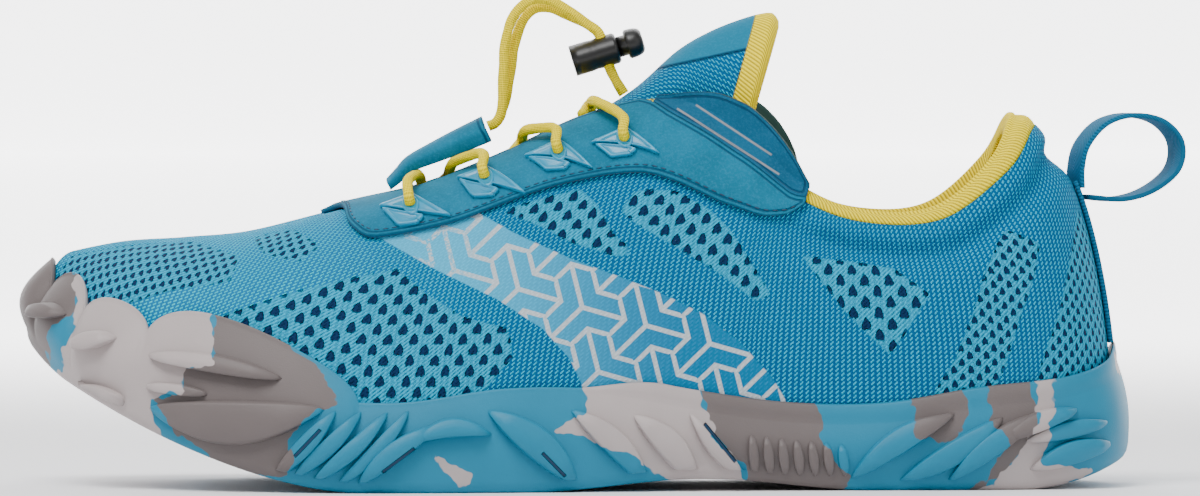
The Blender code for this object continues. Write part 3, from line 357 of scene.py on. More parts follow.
# The suede cap's lower edge: its rise along the shoe, and its height at X = 0
CAP_SLOPE = 0.217
CAP_HEIGHT = 0.1218
TONGUE = (
    TongueRow(10.75, 0.00, 0.00, 0.25), TongueRow(10.0, 0.02, 0.00, 0.28),
    TongueRow(9.0, 0.03, 0.00, 0.35), TongueRow(8.0, 0.09, 0.00, 0.45),
    TongueRow(7.5, 0.18, 0.00, 0.55), TongueRow(7.0, 0.41, 0.02, 0.70),
    TongueRow(6.6, 0.64, 0.06, 0.90), TongueRow(6.3, 0.82, 0.14, 1.00),
    TongueRow(6.15, 0.90, 0.22, 0.90), TongueRow(6.08, 0.91, 0.27, 0.60),
)

# The lace keeper
KEEPER_THICK = 0.006
KEEPER_HALF = 0.008
KEEPER_EDGE = 0.01
# Across the keeper: back and up as shares of its thickness, across of KEEPER_HALF
KEEPER_SECTION = (
    (0, -1, 0), (0, 0, 0.08), (0, 1, 0), (-0.12, 1.03, 0.3), (-0.3, 1, 0.6), (-0.4, 0.7, 0.9),
    (-0.4, 0.4, 1), (-0.4, 0, 1.05), (-0.4, -0.4, 1), (-0.4, -0.7, 0.9), (-0.3, -1, 0.6),
    (-0.12, -1.03, 0.3), (0, -1, 0),
)
# Along the keeper: place as a share of LENGTH, lift over the upper and thickness as shares of
# KEEPER_THICK
KEEPER = (
    (0.665, 0.42, 0.45), (0.656, 0.62, 0.55), (0.645, 0.92, 0.62), (0.620, 0.95, 0.80),
    (0.600, 0.93, 0.92), (0.575, 0.92, 1.00),
)

# The pull loop: out from the tape's top and up from it, as shares
LOOP_OUT = 0.0245
LOOP_UP = 0.0185
LOOP_TURN = math.radians(14)
LOOP = (
    (0.00, 0.05), (0.00, 0.32), (0.06, 0.62), (0.25, 0.90), (0.52, 1.00), (0.80, 0.92),
    (0.97, 0.66), (0.94, 0.32), (0.70, 0.05), (0.40, -0.07), (0.06, -0.04),
)

# Across the loop: shares of its half width and of its thickness
LOOP_SECTION = (
    (-1, 0.1), (-0.95, 0), (0, 0), (0.95, 0), (1, 0.1), (1, 0.9), (0.95, 1), (0, 1), (-0.95, 1),
    (-1, 0.9), (-1, 0.1),
)

# Where a crossing passes the near edge and the crown and where it ends
CROSS_EDGE = 0.34
CROSS_CROWN = 0.50
CROSS_END = 0.62
CROSS_REACH = 0.62

# The lace's free loop, from the throat up through the lock and down to the keeper (X and Z)
LACE_ROUTE = (
    (-0.0897, 0.0978), (-0.0907, 0.0994), (-0.0918, 0.1013), (-0.0932, 0.1042),
    (-0.0946, 0.1084), (-0.0959, 0.1127), (-0.0985, 0.1150), (-0.1040, 0.1182),
    (-0.1085, 0.1203), (-0.1130, 0.1200), (-0.1165, 0.1160), (-0.1183, 0.1100),
    (-0.1190, 0.1035), (-0.1196, 0.0975), (-0.1204, 0.0932), (-0.1218, 0.0906),
    (-0.1237, 0.0897),
)
LOCK_STOP = 4
STRAND_SWAY = 0.0013
# Points of the route before the strands sway apart, and after they meet again
SWAY_START = 6
SWAY_REST = 3

UP = np.array((0.0, 0.0, 1.0))
# The two sides, and the sign that a place takes there
SIDES = (("lateral", 1), ("medial", -1))


def paint(red, green, blue):
    """A display colour, each channel 0 to 255, as the linear colour that a shader takes."""
    return tuple(((value / 255 + 0.055) / 1.055) ** 2.4 for value in (red, green, blue))


def colour_property(name, description, default):
    return FloatVectorProperty(name=name, description=description, subtype="COLOR", size=3,
                               min=0.0, max=1.0, default=default)


def size_property(name, description, default):
    return FloatProperty(name=name, description=description, subtype="DISTANCE", unit="LENGTH",
                         min=0.0, default=default, precision=5)


class ShoeColours(bpy.types.PropertyGroup):
    """Colours of the shoe's finishes."""

    # The knit's two tones are partly its two yarns, partly painted highlight on the raised loops
    # and painted shade in their hollows
    knit_deep: colour_property("Knit, deep", "Darker yarn of the knit", paint(0, 82, 130))
    knit_light: colour_property("Knit, light", "Lighter yarn of the knit", paint(0, 174, 212))
    knit_toe: colour_property("Knit, toe", "Lighter yarn over the toes", paint(0, 198, 220))
    toe_deep: colour_property("Knit, toe deep", "Darker yarn over the toes", paint(0, 108, 158))
    open_yarn: colour_property("Openwork", "Yarn between the holes", paint(0, 168, 204))
    # The holes' dark colour is painted shade of the inside seen through them; the holes are only a
    # bump
    hole: colour_property("Holes", "Depth of the openwork's holes", paint(6, 40, 76))
    print_pale: colour_property("Print, pale", "Front end of the print", paint(60, 168, 206))
    print_deep: colour_property("Print, deep", "Rear end of the print", paint(3, 112, 156))
    print_line: colour_property("Print lines", "Silver lines of the print", paint(178, 188, 194))
    suede: colour_property("Suede", "Stay and keeper", paint(3, 108, 138))
    suede_dark: colour_property("Wing suede", "Ankle wings", paint(16, 88, 120))
    # The suede's back colour darkened by painted shade, on the wings' insides and under the keeper
    suede_back_and_shade: colour_property("Suede back", "Backs of the suede", paint(20, 60, 62))
    seam: colour_property("Seams", "Sewing thread and cut edges", paint(16, 56, 84))
    silver: colour_property("Silver", "Lines on the wings", paint(128, 132, 138))
    plate: colour_property("Plates", "Moulded eyelet plates", paint(3, 140, 178))
    lace: colour_property("Lace", "Braided elastic", paint(255, 232, 0))
    # Painted shade between the lace's strands
    lace_shade: colour_property("Lace shade", "Between the lace's strands", paint(186, 160, 0))
    lining: colour_property("Lining", "Collar lining and tongue edge", paint(255, 232, 0))
    # Painted shade between the jersey's ribs
    lining_shade: colour_property("Lining shade", "Between its ribs", paint(190, 162, 0))
    tape: colour_property("Tape", "Heel tape and loop", paint(16, 104, 142))
    lock: colour_property("Lock", "Cord lock", paint(5, 5, 5))
    rubber_blue: colour_property("Rubber, blue", "Main rubber", paint(3, 118, 150))
    # Painted shade in the slots and tread grooves
    rubber_groove_shade: colour_property("Rubber, deep", "Slots and tread grooves", paint(0, 48, 78))
    rubber_light: colour_property("Rubber, light", "Light grey rubber", paint(168, 158, 157))
    rubber_warm: colour_property("Rubber, warm", "Warm grey rubber", paint(100, 92, 91))
    floor: colour_property("Floor", "Studio floor", paint(240, 240, 242))


class ShoeSizes(bpy.types.PropertyGroup):
    """Sizes of the shoe's finishes."""

    wale: size_property("Wale", "Width of one rib of the knit", 0.00135)
    course: size_property("Course", "Height of one stitch", 0.00110)
    wide_hole: size_property("Wide pitch", "Distance between wide holes along a row", 0.0063)
    fine_hole: size_property("Fine pitch", "Distance between fine holes along a row", 0.0041)
    lattice: size_property("Lattice", "Edge of the print's lattice", 0.00546)
    line: size_property("Line", "Width of the print's lines", 0.00115)
    knit_thick: size_property("Knit", "Thickness of the knit layer", 0.0010)
    lining_thick: size_property("Lining", "Thickness of the lining", 0.0008)
    braid: size_property("Braid", "Length of one braid of the lace", 0.0021)
    stitch: size_property("Stitch", "Length of one sewn stitch", 0.0017)
    thread: size_property("Thread", "Radius of the sewing thread", 0.00022)


class StageSizes(bpy.types.PropertyGroup):
    """Camera and light of the studio."""

    distance: size_property("Distance", "Camera to shoe", 2.4)
    view_width: size_property("View width", "Width of the view at the shoe", 0.3005)
    azimuth: FloatProperty(name="Azimuth", description="Camera's turn about the shoe",
                           subtype="ANGLE", default=math.radians(-1.0))
    elevation: FloatProperty(name="Elevation", description="Camera's height angle",
                             subtype="ANGLE", default=math.radians(1.0))
    target: FloatVectorProperty(name="Target", description="What the camera looks at",
                                subtype="TRANSLATION", size=3, default=(-0.0957, 0.0, 0.0592))
    floor: size_property("Floor", "Side of the floor", 24.0)
    key: FloatProperty(name="Key", description="Power of the key light", subtype="POWER",
                       default=37.0)
    fill: FloatProperty(name="Fill", description="Power of the fill light", subtype="POWER",
                        default=6.0)
    sky: FloatProperty(name="Sky", description="Strength of the studio's walls", default=0.60)
    glow: FloatProperty(name="Glow", description="Brightness of the backdrop", default=3.4)


# The last, worked out for whole arrays of places and shares


def lerp(low, high, share):
    return low + (high - low) * share


def smooth(share):
    share = np.clip(share, 0.0, 1.0)
    return share * share * (3 - 2 * share)


def bow(start, middle, end, share):
    """A point on the curve from start to end that is drawn towards middle."""
    return start * (1 - share) ** 2 + middle * 2 * share * (1 - share) + end * share ** 2


def through(before, low, high, after, share):
    """Catmull-Rom value between low and high."""
    return 0.5 * (2 * low + (high - before) * share
                  + (2 * before - 5 * low + 4 * high - after) * share ** 2
                  + (3 * (low - high) + after - before) * share ** 3)


def curve_through(points, steps):
    """Points along a smooth curve through the given ones."""
    points = np.asarray(points, float)
    ends = np.vstack([points[:1] * 2 - points[1:2], points, points[-1:] * 2 - points[-2:-1]])
    shares = np.arange(steps)[:, None] / steps
    parts = [through(*ends[place:place + 4], shares) for place in range(len(points) - 1)]
    return np.vstack([*parts, points[-1:]])


def from_table(rows, places):
    """The second column of a short table, with its corners rounded a little."""
    rows = np.asarray(rows, float)
    spots = [np.interp(places + step, rows[:, 0], rows[:, 1]) for step in (-0.12, 0, 0.12)]
    return (spots[0] + 2 * spots[1] + spots[2]) / 4


def run_along(points):
    """How far each point is along a line of points."""
    return np.concatenate([[0.0], np.cumsum(np.linalg.norm(np.diff(points, axis=0), axis=-1))])


def unit(vectors):
    return vectors / np.linalg.norm(vectors, axis=-1, keepdims=True)


def paired(places, shares):
    """Places and shares as arrays of one shape."""
    return np.broadcast_arrays(np.asarray(places, float), np.asarray(shares, float))


def rib_number(places):
    """How many ribs a place is from the back of the heel."""
    places = np.asarray(places, float) % TURN
    return np.minimum(places, TURN - places)


def base_z(x):
    """Height of the sole's own level, which rises under the toes."""
    along = ((HEEL_BACK - x) / LENGTH - SPRING_START) / (SPRING_END - SPRING_START)
    return TOE_SPRING * np.maximum(0.0, along) ** SPRING_POWER


def rib_rows():
    """Each rib's foot, head and other values in metres, once around the shoe."""
    rows = []
    for index in range(TURN):
        number = min(index, TURN - index)
        row = SECTIONS[number]
        outer = index <= TOE_RIB
        foot_x, foot_y = (row.lat_x, row.lat_y) if outer else (row.med_x, row.med_y)
        tall = HEEL_HEIGHT if number <= LAST_HEEL_RIB else INSTEP_HEIGHT
        rows.append((HEEL_BACK - foot_x * LENGTH, foot_y * BALL_WIDTH,
                     HEEL_BACK - row.top_x * LENGTH,
                     (row.top_lat if outer else row.top_med) * BALL_WIDTH, row.top_z * tall,
                     row.full, row.swell * BALL_WIDTH,
                     (row.rim_lat if outer else row.rim_med) * RIM_HEIGHT))
    return np.array(rows)


RIB_ROWS = rib_rows()
Rib = namedtuple("Rib", "foot head outward full swell rim")


def plain_ribs(places):
    index = np.floor(places).astype(int)
    near = [RIB_ROWS[(index + step) % TURN] for step in (-1, 0, 1, 2)]
    return through(*near, (places - index)[..., None])


def lobe_swell(places):
    """How far each place is into its toe lobe, as the lobe's rise and outward swell."""
    rise, out = np.zeros(np.shape(places)), np.zeros(np.shape(places))
    for lobe in LOBES:
        across = (places - (lobe.start + lobe.end) / 2) / ((lobe.end - lobe.start) / 2)
        inside = np.maximum(0.0, 1 - across * across)
        rise += lobe.rise * inside ** LOBE_POWER
        out += lobe.out * np.sqrt(inside)
    return rise, out


def ribs(places):
    """The ribs at any places around the shoe, 0 at the heel and 15 at the toe tip."""
    places = np.asarray(places, float) % TURN
    plain = plain_ribs(places)
    foot = np.stack([plain[..., 0], plain[..., 1],
                     base_z(plain[..., 0]) + BASE_THICK + GAP], -1)
    other = plain_ribs((TURN - places) % TURN)[..., 2:5]
    joined = (rib_number(places) >= THROAT_RIB)[..., None]
    head = np.where(joined, (plain[..., 2:5] + other) / 2, plain[..., 2:5])
    along = plain_ribs(places + 0.1)[..., :2] - plain_ribs(places - 0.1)[..., :2]
    outward = unit(np.stack([-along[..., 1], along[..., 0], 0 * along[..., 0]], -1))
    rim = plain[..., 7] + lobe_swell(places)[0] * LOBE_HEIGHT
    return Rib(foot, head, outward, plain[..., 5], np.maximum(plain[..., 6], 0.0), rim)


def spread(foot, head, full, share):
    """Points from foot to head: a straight line at full 0 and a quarter ellipse at 1."""
    angle = share * math.pi / 2
    across = lerp(share, 1 - np.cos(angle), full)[..., None]
    up = lerp(share, np.sin(angle), full)[..., None]
    flat = lerp(foot[..., :2], head[..., :2], across)
    return np.concatenate([flat, lerp(foot[..., 2:], head[..., 2:], up)], -1)


def skin(places, shares):
    """The upper's outer surface: share 0 is its foot and 1 the collar, throat or ridge."""
    places, shares = paired(places, shares)
    part = ribs(places)
    point = spread(part.foot, part.head, part.full, shares)
    down = (part.head[..., 2] - point[..., 2] - ROLL_HEIGHT) / CREASE_WIDTH
    crease = CREASE_DEPTH * (1 - smooth(rib_number(places) - COLLAR_RIB)) * np.exp(-down * down)
    out = part.swell * np.sin(math.pi * shares) - crease
    return point + part.outward * out[..., None]


def padding(places):
    """1 where the collar is padded, 0 in front of it."""
    return 1 - smooth(rib_number(places) - PAD_RIB)


def lining(places, shares, depth=0.0):
    """The upper's inner surface, or one that lies the given depth inside it."""
    places, shares = paired(places, shares)
    part = ribs(places)
    pad = padding(places)[..., None]
    foot = part.foot - part.outward * (KNIT_WALL + depth)
    head = part.head - part.outward * LIP_IN * pad - UP * (lerp(KNIT_WALL, LIP_DOWN, pad) + depth)
    bulge = (part.swell * np.sin(math.pi * shares))[..., None]
    return spread(foot, head, part.full, shares) + part.outward * bulge


def normals(places, shares):
    step = 0.01
    shares = np.clip(shares, step, 0.97)
    along = skin(places + step, shares) - skin(places - step, shares)
    up = skin(places, shares + step) - skin(places, shares - step)
    return unit(np.cross(up, along))


def lifted(places, shares, height):
    """Points the given height off the upper's outer surface."""
    places, shares = paired(places, shares)
    point = skin(places, shares) + normals(places, shares) * height
    other = (TURN - places) % TURN
    mirrored = skin(other, shares) + normals(other, shares) * height
    ridge = ((shares >= 1) & (rib_number(places) >= THROAT_RIB))[..., None]
    return np.where(ridge, (point + mirrored) / 2, point)


def share_at(part, height):
    """The share at which the ribs reach a height over their feet."""
    target = height / (part.head[..., 2] - part.foot[..., 2])
    low, high = np.zeros(np.shape(target)), np.ones(np.shape(target))
    for _ in range(20):
        middle = (low + high) / 2
        reached = lerp(middle, np.sin(middle * math.pi / 2), part.full)
        low = np.where(reached < target, middle, low)
        high = np.where(reached < target, high, middle)
    return high


def rim_share(places):
    """How far up the upper the rubber rim reaches."""
    part = ribs(places)
    return share_at(part, part.rim)


def collar_share(places):
    """How far up the collar the knit reaches before the yellow lining, and 1 in the throat."""
    part = ribs(places)
    tall = part.head[..., 2] - part.foot[..., 2]
    return share_at(part, tall - PIPING * piping(places))


def piping(places):
    """1 where the lining's edge is piped over the collar, 0 in front of it."""
    return 1 - smooth((rib_number(places) - PIPING_RIB) / PIPING_FADE)


def even_places(count, start=0.0, end=TURN):
    """Places an even distance apart along the sole's edge."""
    fine = np.linspace(start, end, 40 * round(end - start) + 1)
    run = run_along(ribs(fine).foot[:, :2])
    return np.interp(np.linspace(0, run[-1], count), run, fine)


def outline_depth(points, outline):
    """How far points (X, Z) lie inside an outline in tenths, negative outside it."""
    outline = np.asarray(outline) / TENTHS
    nearest = np.full(points.shape[:-1], 1e9)
    inside = np.zeros(points.shape[:-1], bool)
    for start, end in zip(outline, np.roll(outline, -1, axis=0)):
        edge = end - start
        away = points - start
        share = np.clip((away @ edge) / (edge @ edge), 0, 1)
        nearest = np.minimum(nearest, np.linalg.norm(away - share[..., None] * edge, axis=-1))
        crosses = (start[1] > points[..., 1]) != (end[1] > points[..., 1])
        at = start[0] + (points[..., 1] - start[1]) * edge[0] / (edge[1] or 1e-9)
        inside ^= crosses & (points[..., 0] < at)
    return np.where(inside, nearest, -nearest)


def zone_depth(points, outlines):
    return np.max([outline_depth(points, outline) for outline in outlines], axis=0)


# Shader building


class Finish:
    """One material, with short ways to add and join its nodes."""

    def __init__(self, name, roughness, **settings):
        self.material = bpy.data.materials.new(name)
        self.material.use_nodes = True
        self.nodes = self.material.node_tree.nodes
        self.links = self.material.node_tree.links
        self.shader = self.nodes["Principled BSDF"]
        self.shader.inputs["Roughness"].default_value = roughness
        for socket, value in settings.items():
            self.shader.inputs[socket.replace("_", " ")].default_value = value

    def put(self, socket, value):
        if isinstance(value, bpy.types.NodeSocket):
            self.links.new(value, socket)
        else:
            socket.default_value = value

    def math(self, operation, first, second=0.0, third=0.0):
        node = self.nodes.new("ShaderNodeMath")
        node.operation = operation
        for socket, value in zip(node.inputs, (first, second, third)):
            self.put(socket, value)
        return node.outputs[0]

    def times(self, first, second):
        return self.math("MULTIPLY", first, second)

    def scaled(self, value, by, plus):
        return self.math("MULTIPLY_ADD", value, by, plus)

    def vector(self, operation, first, second=(0, 0, 0), third=(0, 0, 0)):
        node = self.nodes.new("ShaderNodeVectorMath")
        node.operation = operation
        for socket, value in zip(node.inputs, (first, second, third)):
            self.put(socket, value)
        return node.outputs["Value" if operation in ("LENGTH", "DOT_PRODUCT") else "Vector"]

    def mix(self, share, low, high):
        node = self.nodes.new("ShaderNodeMix")
        node.data_type = "RGBA"
        self.put(node.inputs[0], share)
        for socket, value in ((node.inputs[6], low), (node.inputs[7], high)):
            self.put(socket, value if isinstance(value, bpy.types.NodeSocket) else (*value, 1))
        return node.outputs[2]

    def choose(self, share, low, high):
        """One of two vectors."""
        node = self.nodes.new("ShaderNodeMix")
        node.data_type = "VECTOR"
        self.put(node.inputs[0], share)
        self.put(node.inputs[4], low)
        self.put(node.inputs[5], high)
        return node.outputs[1]

    def step(self, value, low, high):
        """0 below low and 1 above high, smooth in between; low may be the larger."""
        node = self.nodes.new("ShaderNodeMapRange")
        node.interpolation_type = "SMOOTHSTEP"
        turned = low > high
        self.put(node.inputs[0], value)
        self.put(node.inputs[1], min(low, high))
        self.put(node.inputs[2], max(low, high))
        self.put(node.inputs[3], 1.0 if turned else 0.0)
        self.put(node.inputs[4], 0.0 if turned else 1.0)
        return node.outputs[0]

    def parts(self, value):
        node = self.nodes.new("ShaderNodeSeparateXYZ")
        self.put(node.inputs[0], value)
        return node.outputs

    def joined(self, x, y, z=0.0):
        node = self.nodes.new("ShaderNodeCombineXYZ")
        for socket, value in zip(node.inputs, (x, y, z)):
            self.put(socket, value)
        return node.outputs[0]

    def place(self):
        return self.nodes.new("ShaderNodeTexCoord").outputs["Object"]

    def side_place(self):
        """The place seen from the side, as (X, Z, 0)."""
        at = self.parts(self.place())
        return self.joined(at[0], at[2])

    def surface(self):
        return self.nodes.new("ShaderNodeTexCoord").outputs["UV"]

    def field(self, name):
        node = self.nodes.new("ShaderNodeAttribute")
        node.attribute_name = name
        return node.outputs["Fac"]

    def within(self, name, blur):
        """1 inside the outlines that a named field measures, 0 outside them."""
        return self.step(self.field(name), -blur, blur)

    def brightness(self, value, colour):
        node = self.nodes.new("ShaderNodeHueSaturation")
        self.put(node.inputs["Value"], value)
        self.put(node.inputs["Color"], colour)
        return node.outputs[0]

    def noise(self, where, scale, detail=2.0, roughness=0.5):
        node = self.nodes.new("ShaderNodeTexNoise")
        self.put(node.inputs["Vector"], where)
        node.inputs["Scale"].default_value = scale
        node.inputs["Detail"].default_value = detail
        node.inputs["Roughness"].default_value = roughness
        return node.outputs[0]

    def colour(self, value):
        self.put(self.shader.inputs["Base Color"],
                 value if isinstance(value, bpy.types.NodeSocket) else (*value, 1))

    def bump(self, height, distance, strength=1.0):
        """A bump of the given depth in metres, over those made before it."""
        node = self.nodes.new("ShaderNodeBump")
        node.inputs["Strength"].default_value = strength
        node.inputs["Distance"].default_value = distance
        self.put(node.inputs["Height"], height)
        before = self.shader.inputs["Normal"].links
        if before:
            self.put(node.inputs["Normal"], before[0].from_socket)
        self.links.new(node.outputs[0], self.shader.inputs["Normal"])

    def segment(self, flat, start, end, half):
        """1 on a straight line of a half width between two places (X, Z), 0 off it."""
        run = Vector((end[0] - start[0], end[1] - start[1], 0))
        along = run.normalized()
        moved = self.vector("SUBTRACT", flat, (*start, 0))
        far = self.vector("DOT_PRODUCT", moved, tuple(along))
        off = self.math("ABSOLUTE", self.vector("DOT_PRODUCT", moved, (-along.y, along.x, 0)))
        return self.times(self.step(off, half + 0.0001, half - 0.0001),
                         self.times(self.step(far, 0.0, 0.0004),
                                   self.step(far, run.length, run.length - 0.0004)))

    def nearest(self, where, wide, high):
        """The way from the nearest point of a lattice of staggered rows of the given cell."""
        half = (wide / 2, high / 2, 1.0)
        low = tuple(-side for side in half)
        one = self.vector("WRAP", where, half, low)
        two = self.vector("WRAP", self.vector("SUBTRACT", where, (half[0], half[1], 0)), half, low)
        nearer = self.math("LESS_THAN", self.vector("LENGTH", two), self.vector("LENGTH", one))
        return self.choose(nearer, one, two)


def colours():
    return bpy.context.scene.shoe_colours


def sizes():
    return bpy.context.scene.shoe_sizes


def tinted(tone, factor):
    return [channel * factor for channel in tone]


def napped(made, nap, ground, tone):
    """Ground with the paler tips of a nap over it."""
    pale = [min(1.0, channel + 0.02) for channel in tinted(tone, 1.35)]
    return made.mix(made.times(made.step(nap, 0.42, 0.70), 0.35), ground, pale)


def jersey(made):
    """The ribs of fine yellow jersey, from -1 to 1, and its colour with painted shade between the
    ribs.
    """
    spot = made.parts(made.surface())
    rib = made.math("SINE", made.times(made.scaled(spot[1], 0.5, spot[0]), math.tau / JERSEY_RIB))
    shade = colours().lining_shade
    return rib, made.mix(made.step(rib, 0.4, -0.9), colours().lining, shade)


def knit_loops(made):
    """How high the yarn stands in a rib knit with slanted stitches, from 0 to 1."""
    scale = sizes()
    spot = made.parts(made.surface())
    wander = made.times(made.noise(made.place(), 90.0), 2.2)
    across = made.scaled(spot[0], math.tau / scale.wale, wander)
    up = made.times(spot[1], math.tau / scale.course)
    rib = made.scaled(made.math("COSINE", across), 0.5, 0.5)
    slant = made.times(made.math("SINE", across), 1.5)
    stitch = made.scaled(made.math("COSINE", made.math("ADD", up, slant)), 0.5, 0.5)
    return made.times(rib, stitch)


def tongue_finish():
    """Rib knit under a suede cap, with a rolled edge and back of yellow jersey."""
    paints, made = colours(), Finish("tongue_knit", 0.8, Specular_IOR_Level=0.1)
    loops = knit_loops(made)
    place = made.place()
    cloud = made.scaled(made.noise(place, 300.0, 3.0), 0.5, 0.7)
    # As on the upper, the lighter tone on the raised loops and the deeper one in their hollows are
    # partly painted highlight and painted shade
    light = made.times(made.step(loops, *LIGHT_YARN), cloud)
    knit = made.mix(light, paints.knit_deep, paints.knit_light)
    at = made.parts(place)
    over = made.math("SUBTRACT", at[2], made.scaled(at[0], CAP_SLOPE, CAP_HEIGHT))
    cap = made.step(over, -0.0001, 0.0001)
    seam = made.step(made.math("ABSOLUTE", over), 0.0006, 0.0003)
    suede = napped(made, made.noise(place, *NAP), paints.suede, paints.suede)
    colour = made.mix(made.times(seam, 0.85), made.mix(cap, knit, suede), paints.seam)
    lined = made.step(made.field("from_tip"), TONGUE_EDGE + 0.0002, TONGUE_EDGE - 0.0002)
    rib, yellow = jersey(made)
    made.colour(made.mix(lined, colour, yellow))
    plain = made.math("SUBTRACT", 1.0, made.math("MAXIMUM", cap, lined))
    made.bump(made.times(loops, plain), *YARN_BUMP)
    made.bump(made.times(rib, lined), *JERSEY_BUMP)
    made.bump(made.math("MAXIMUM", cap, made.times(lined, 2.0)), 0.0009, 1.0)
    return made.material


def openwork(made, colour, zone, pitch):
    """A zone of openwork over a colour, and how deep its holes are from 0 to 1."""
    paints, spot = colours(), made.parts(made.surface())
    away = made.parts(made.nearest(made.surface(), pitch, pitch * 0.86))
    bent = made.scaled(made.math("ABSOLUTE", away[0]), 0.75, away[1])
    length = made.vector("LENGTH", made.joined(away[0], made.times(bent, 0.80)))
    ragged = made.scaled(made.noise(made.place(), 900.0), HOLE_FRAY, length)
    hole = made.step(ragged, pitch * 0.20 + HOLE_GROWTH, pitch * 0.145 + HOLE_GROWTH)
    # Stripes of the deeper knit tone between the yarns are painted shade
    yarn = made.math("SINE", made.times(made.math("ADD", spot[1], spot[0]), YARN_TURNS))
    yarns = made.mix(made.scaled(yarn, 0.30, 0.28), paints.open_yarn, paints.knit_deep)
    inside = made.within(zone, 0.0004)
    # The dark colour in each hole is painted shade
    return made.mix(inside, colour, made.mix(hole, yarns, paints.hole)), made.times(hole, inside)


def lattice_lines(made, at):
    """1 on the printed lattice's lines: a Y of rays in each cell, lines beside them, and tails."""
    edge = sizes().lattice
    moved = made.vector("SUBTRACT", made.joined(at[0], at[2]), (*LATTICE_AT, 0.0))
    turned = made.nodes.new("ShaderNodeVectorRotate")
    turned.rotation_type = "Z_AXIS"
    made.put(turned.inputs["Vector"], moved)
    turned.inputs["Angle"].default_value = LATTICE_TURN
    cell = made.parts(made.nearest(turned.outputs[0], 3 * edge, 3 * math.sqrt(3) * edge))
    angle = made.math("WRAP", made.math("ARCTAN2", cell[1], cell[0]), math.pi / 3, -math.pi / 3)
    angle = made.math("ABSOLUTE", angle)
    radius = made.vector("LENGTH", made.joined(cell[0], cell[1]))
    x = made.times(radius, made.math("COSINE", angle))
    y = made.times(radius, made.math("SINE", angle))
    ray = made.math("SUBTRACT", made.times(x, math.sin(math.pi / 3)), made.times(y, 0.5))
    side = made.math("ABSOLUTE", made.math("SUBTRACT", ray, edge * math.sin(math.pi / 3)))
    tail = made.math("ADD", y, made.times(made.math("LESS_THAN", x, edge), 1.0))
    nearest = made.math("MINIMUM", made.math("MINIMUM", ray, side), tail)
    return made.step(nearest, sizes().line * 0.58, sizes().line * 0.42)


def knit_finish():
    """Two-tone rib knit, with openwork zones and a printed band with a Y lattice. The lighter tone
    on the raised loops and the deeper one in their hollows are partly the two yarns and partly
    painted highlight and painted shade.
    """
    paints, made, scale = colours(), Finish("rib_knit", 0.8, Specular_IOR_Level=0.1), sizes()
    place = made.place()
    at = made.parts(place)
    loops = knit_loops(made)
    # Lighter yarn on the raised loops, deeper in their hollows: partly two yarns, partly painted
    # highlight and painted shade
    light = made.step(loops, *LIGHT_YARN)
    toe = made.step(at[0], *TOE_TONE)
    toned = made.mix(toe, paints.knit_light, paints.knit_toe)
    deep = made.mix(toe, paints.knit_deep, paints.toe_deep)
    uneven = made.scaled(made.noise(place, 300.0, 3.0), 0.5, 0.75)
    colour, wide = openwork(made, made.mix(made.times(light, uneven), deep, toned), "wide",
                            scale.wide_hole)
    colour, fine = openwork(made, colour, "fine", scale.fine_hole)

    fade = made.step(at[0], *PRINT_SPECKS)
    specks = made.step(made.noise(place, 1400.0), 0.62, 0.40)
    worn = made.times(made.math("MAXIMUM", fade, specks), made.step(at[0], *PRINT_START))
    line = made.times(lattice_lines(made, at), worn)
    ground = made.mix(made.step(at[0], *PRINT_TONE), paints.print_pale, paints.print_deep)
    # The print is darker in the knit's hollows: painted shade
    printed = made.brightness(made.scaled(light, 0.16, 0.90),
                              made.mix(line, ground, paints.print_line))
    band = made.within("band", 0.0002)
    made.colour(made.mix(band, colour, printed))
    made.bump(made.times(loops, made.scaled(band, -0.75, 1.0)), *YARN_BUMP)
    made.bump(made.times(made.math("MAXIMUM", wide, fine), -1.0), 0.0011, 1.0)
    return made.material


def suede_finish(name, tone, lines=()):
    """Short-napped microfibre, darker along its cut and sewn edge."""
    paints, made = colours(), Finish(name, 0.9, Specular_IOR_Level=0.1, Sheen_Weight=0.05)
    place = made.place()
    nap = made.noise(place, *NAP)
    cloud = made.noise(place, 110.0, 3.0)
    colour = made.mix(made.step(cloud, 0.3, 0.7), tone, tinted(tone, 0.80))
    colour = napped(made, nap, colour, tone)
    edge = made.field("edge")
    seam = made.times(made.step(edge, 0.00075, 0.00095), made.step(edge, 0.00150, 0.00130))
    cut = made.times(made.step(edge, 0.00035, 0.00010), 0.55)
    colour = made.mix(made.times(seam, 0.75), colour, paints.seam)
    colour = made.mix(cut, colour, paints.seam)
    flat = made.side_place()
    for start, end in lines:
        colour = made.mix(made.segment(flat, start, end, WING_LINE_HALF), colour, paints.silver)
    made.colour(colour)
    made.bump(nap, 0.00014, 0.6)
    made.bump(made.times(seam, -1.0), 0.0004, 0.8)
    return made.material


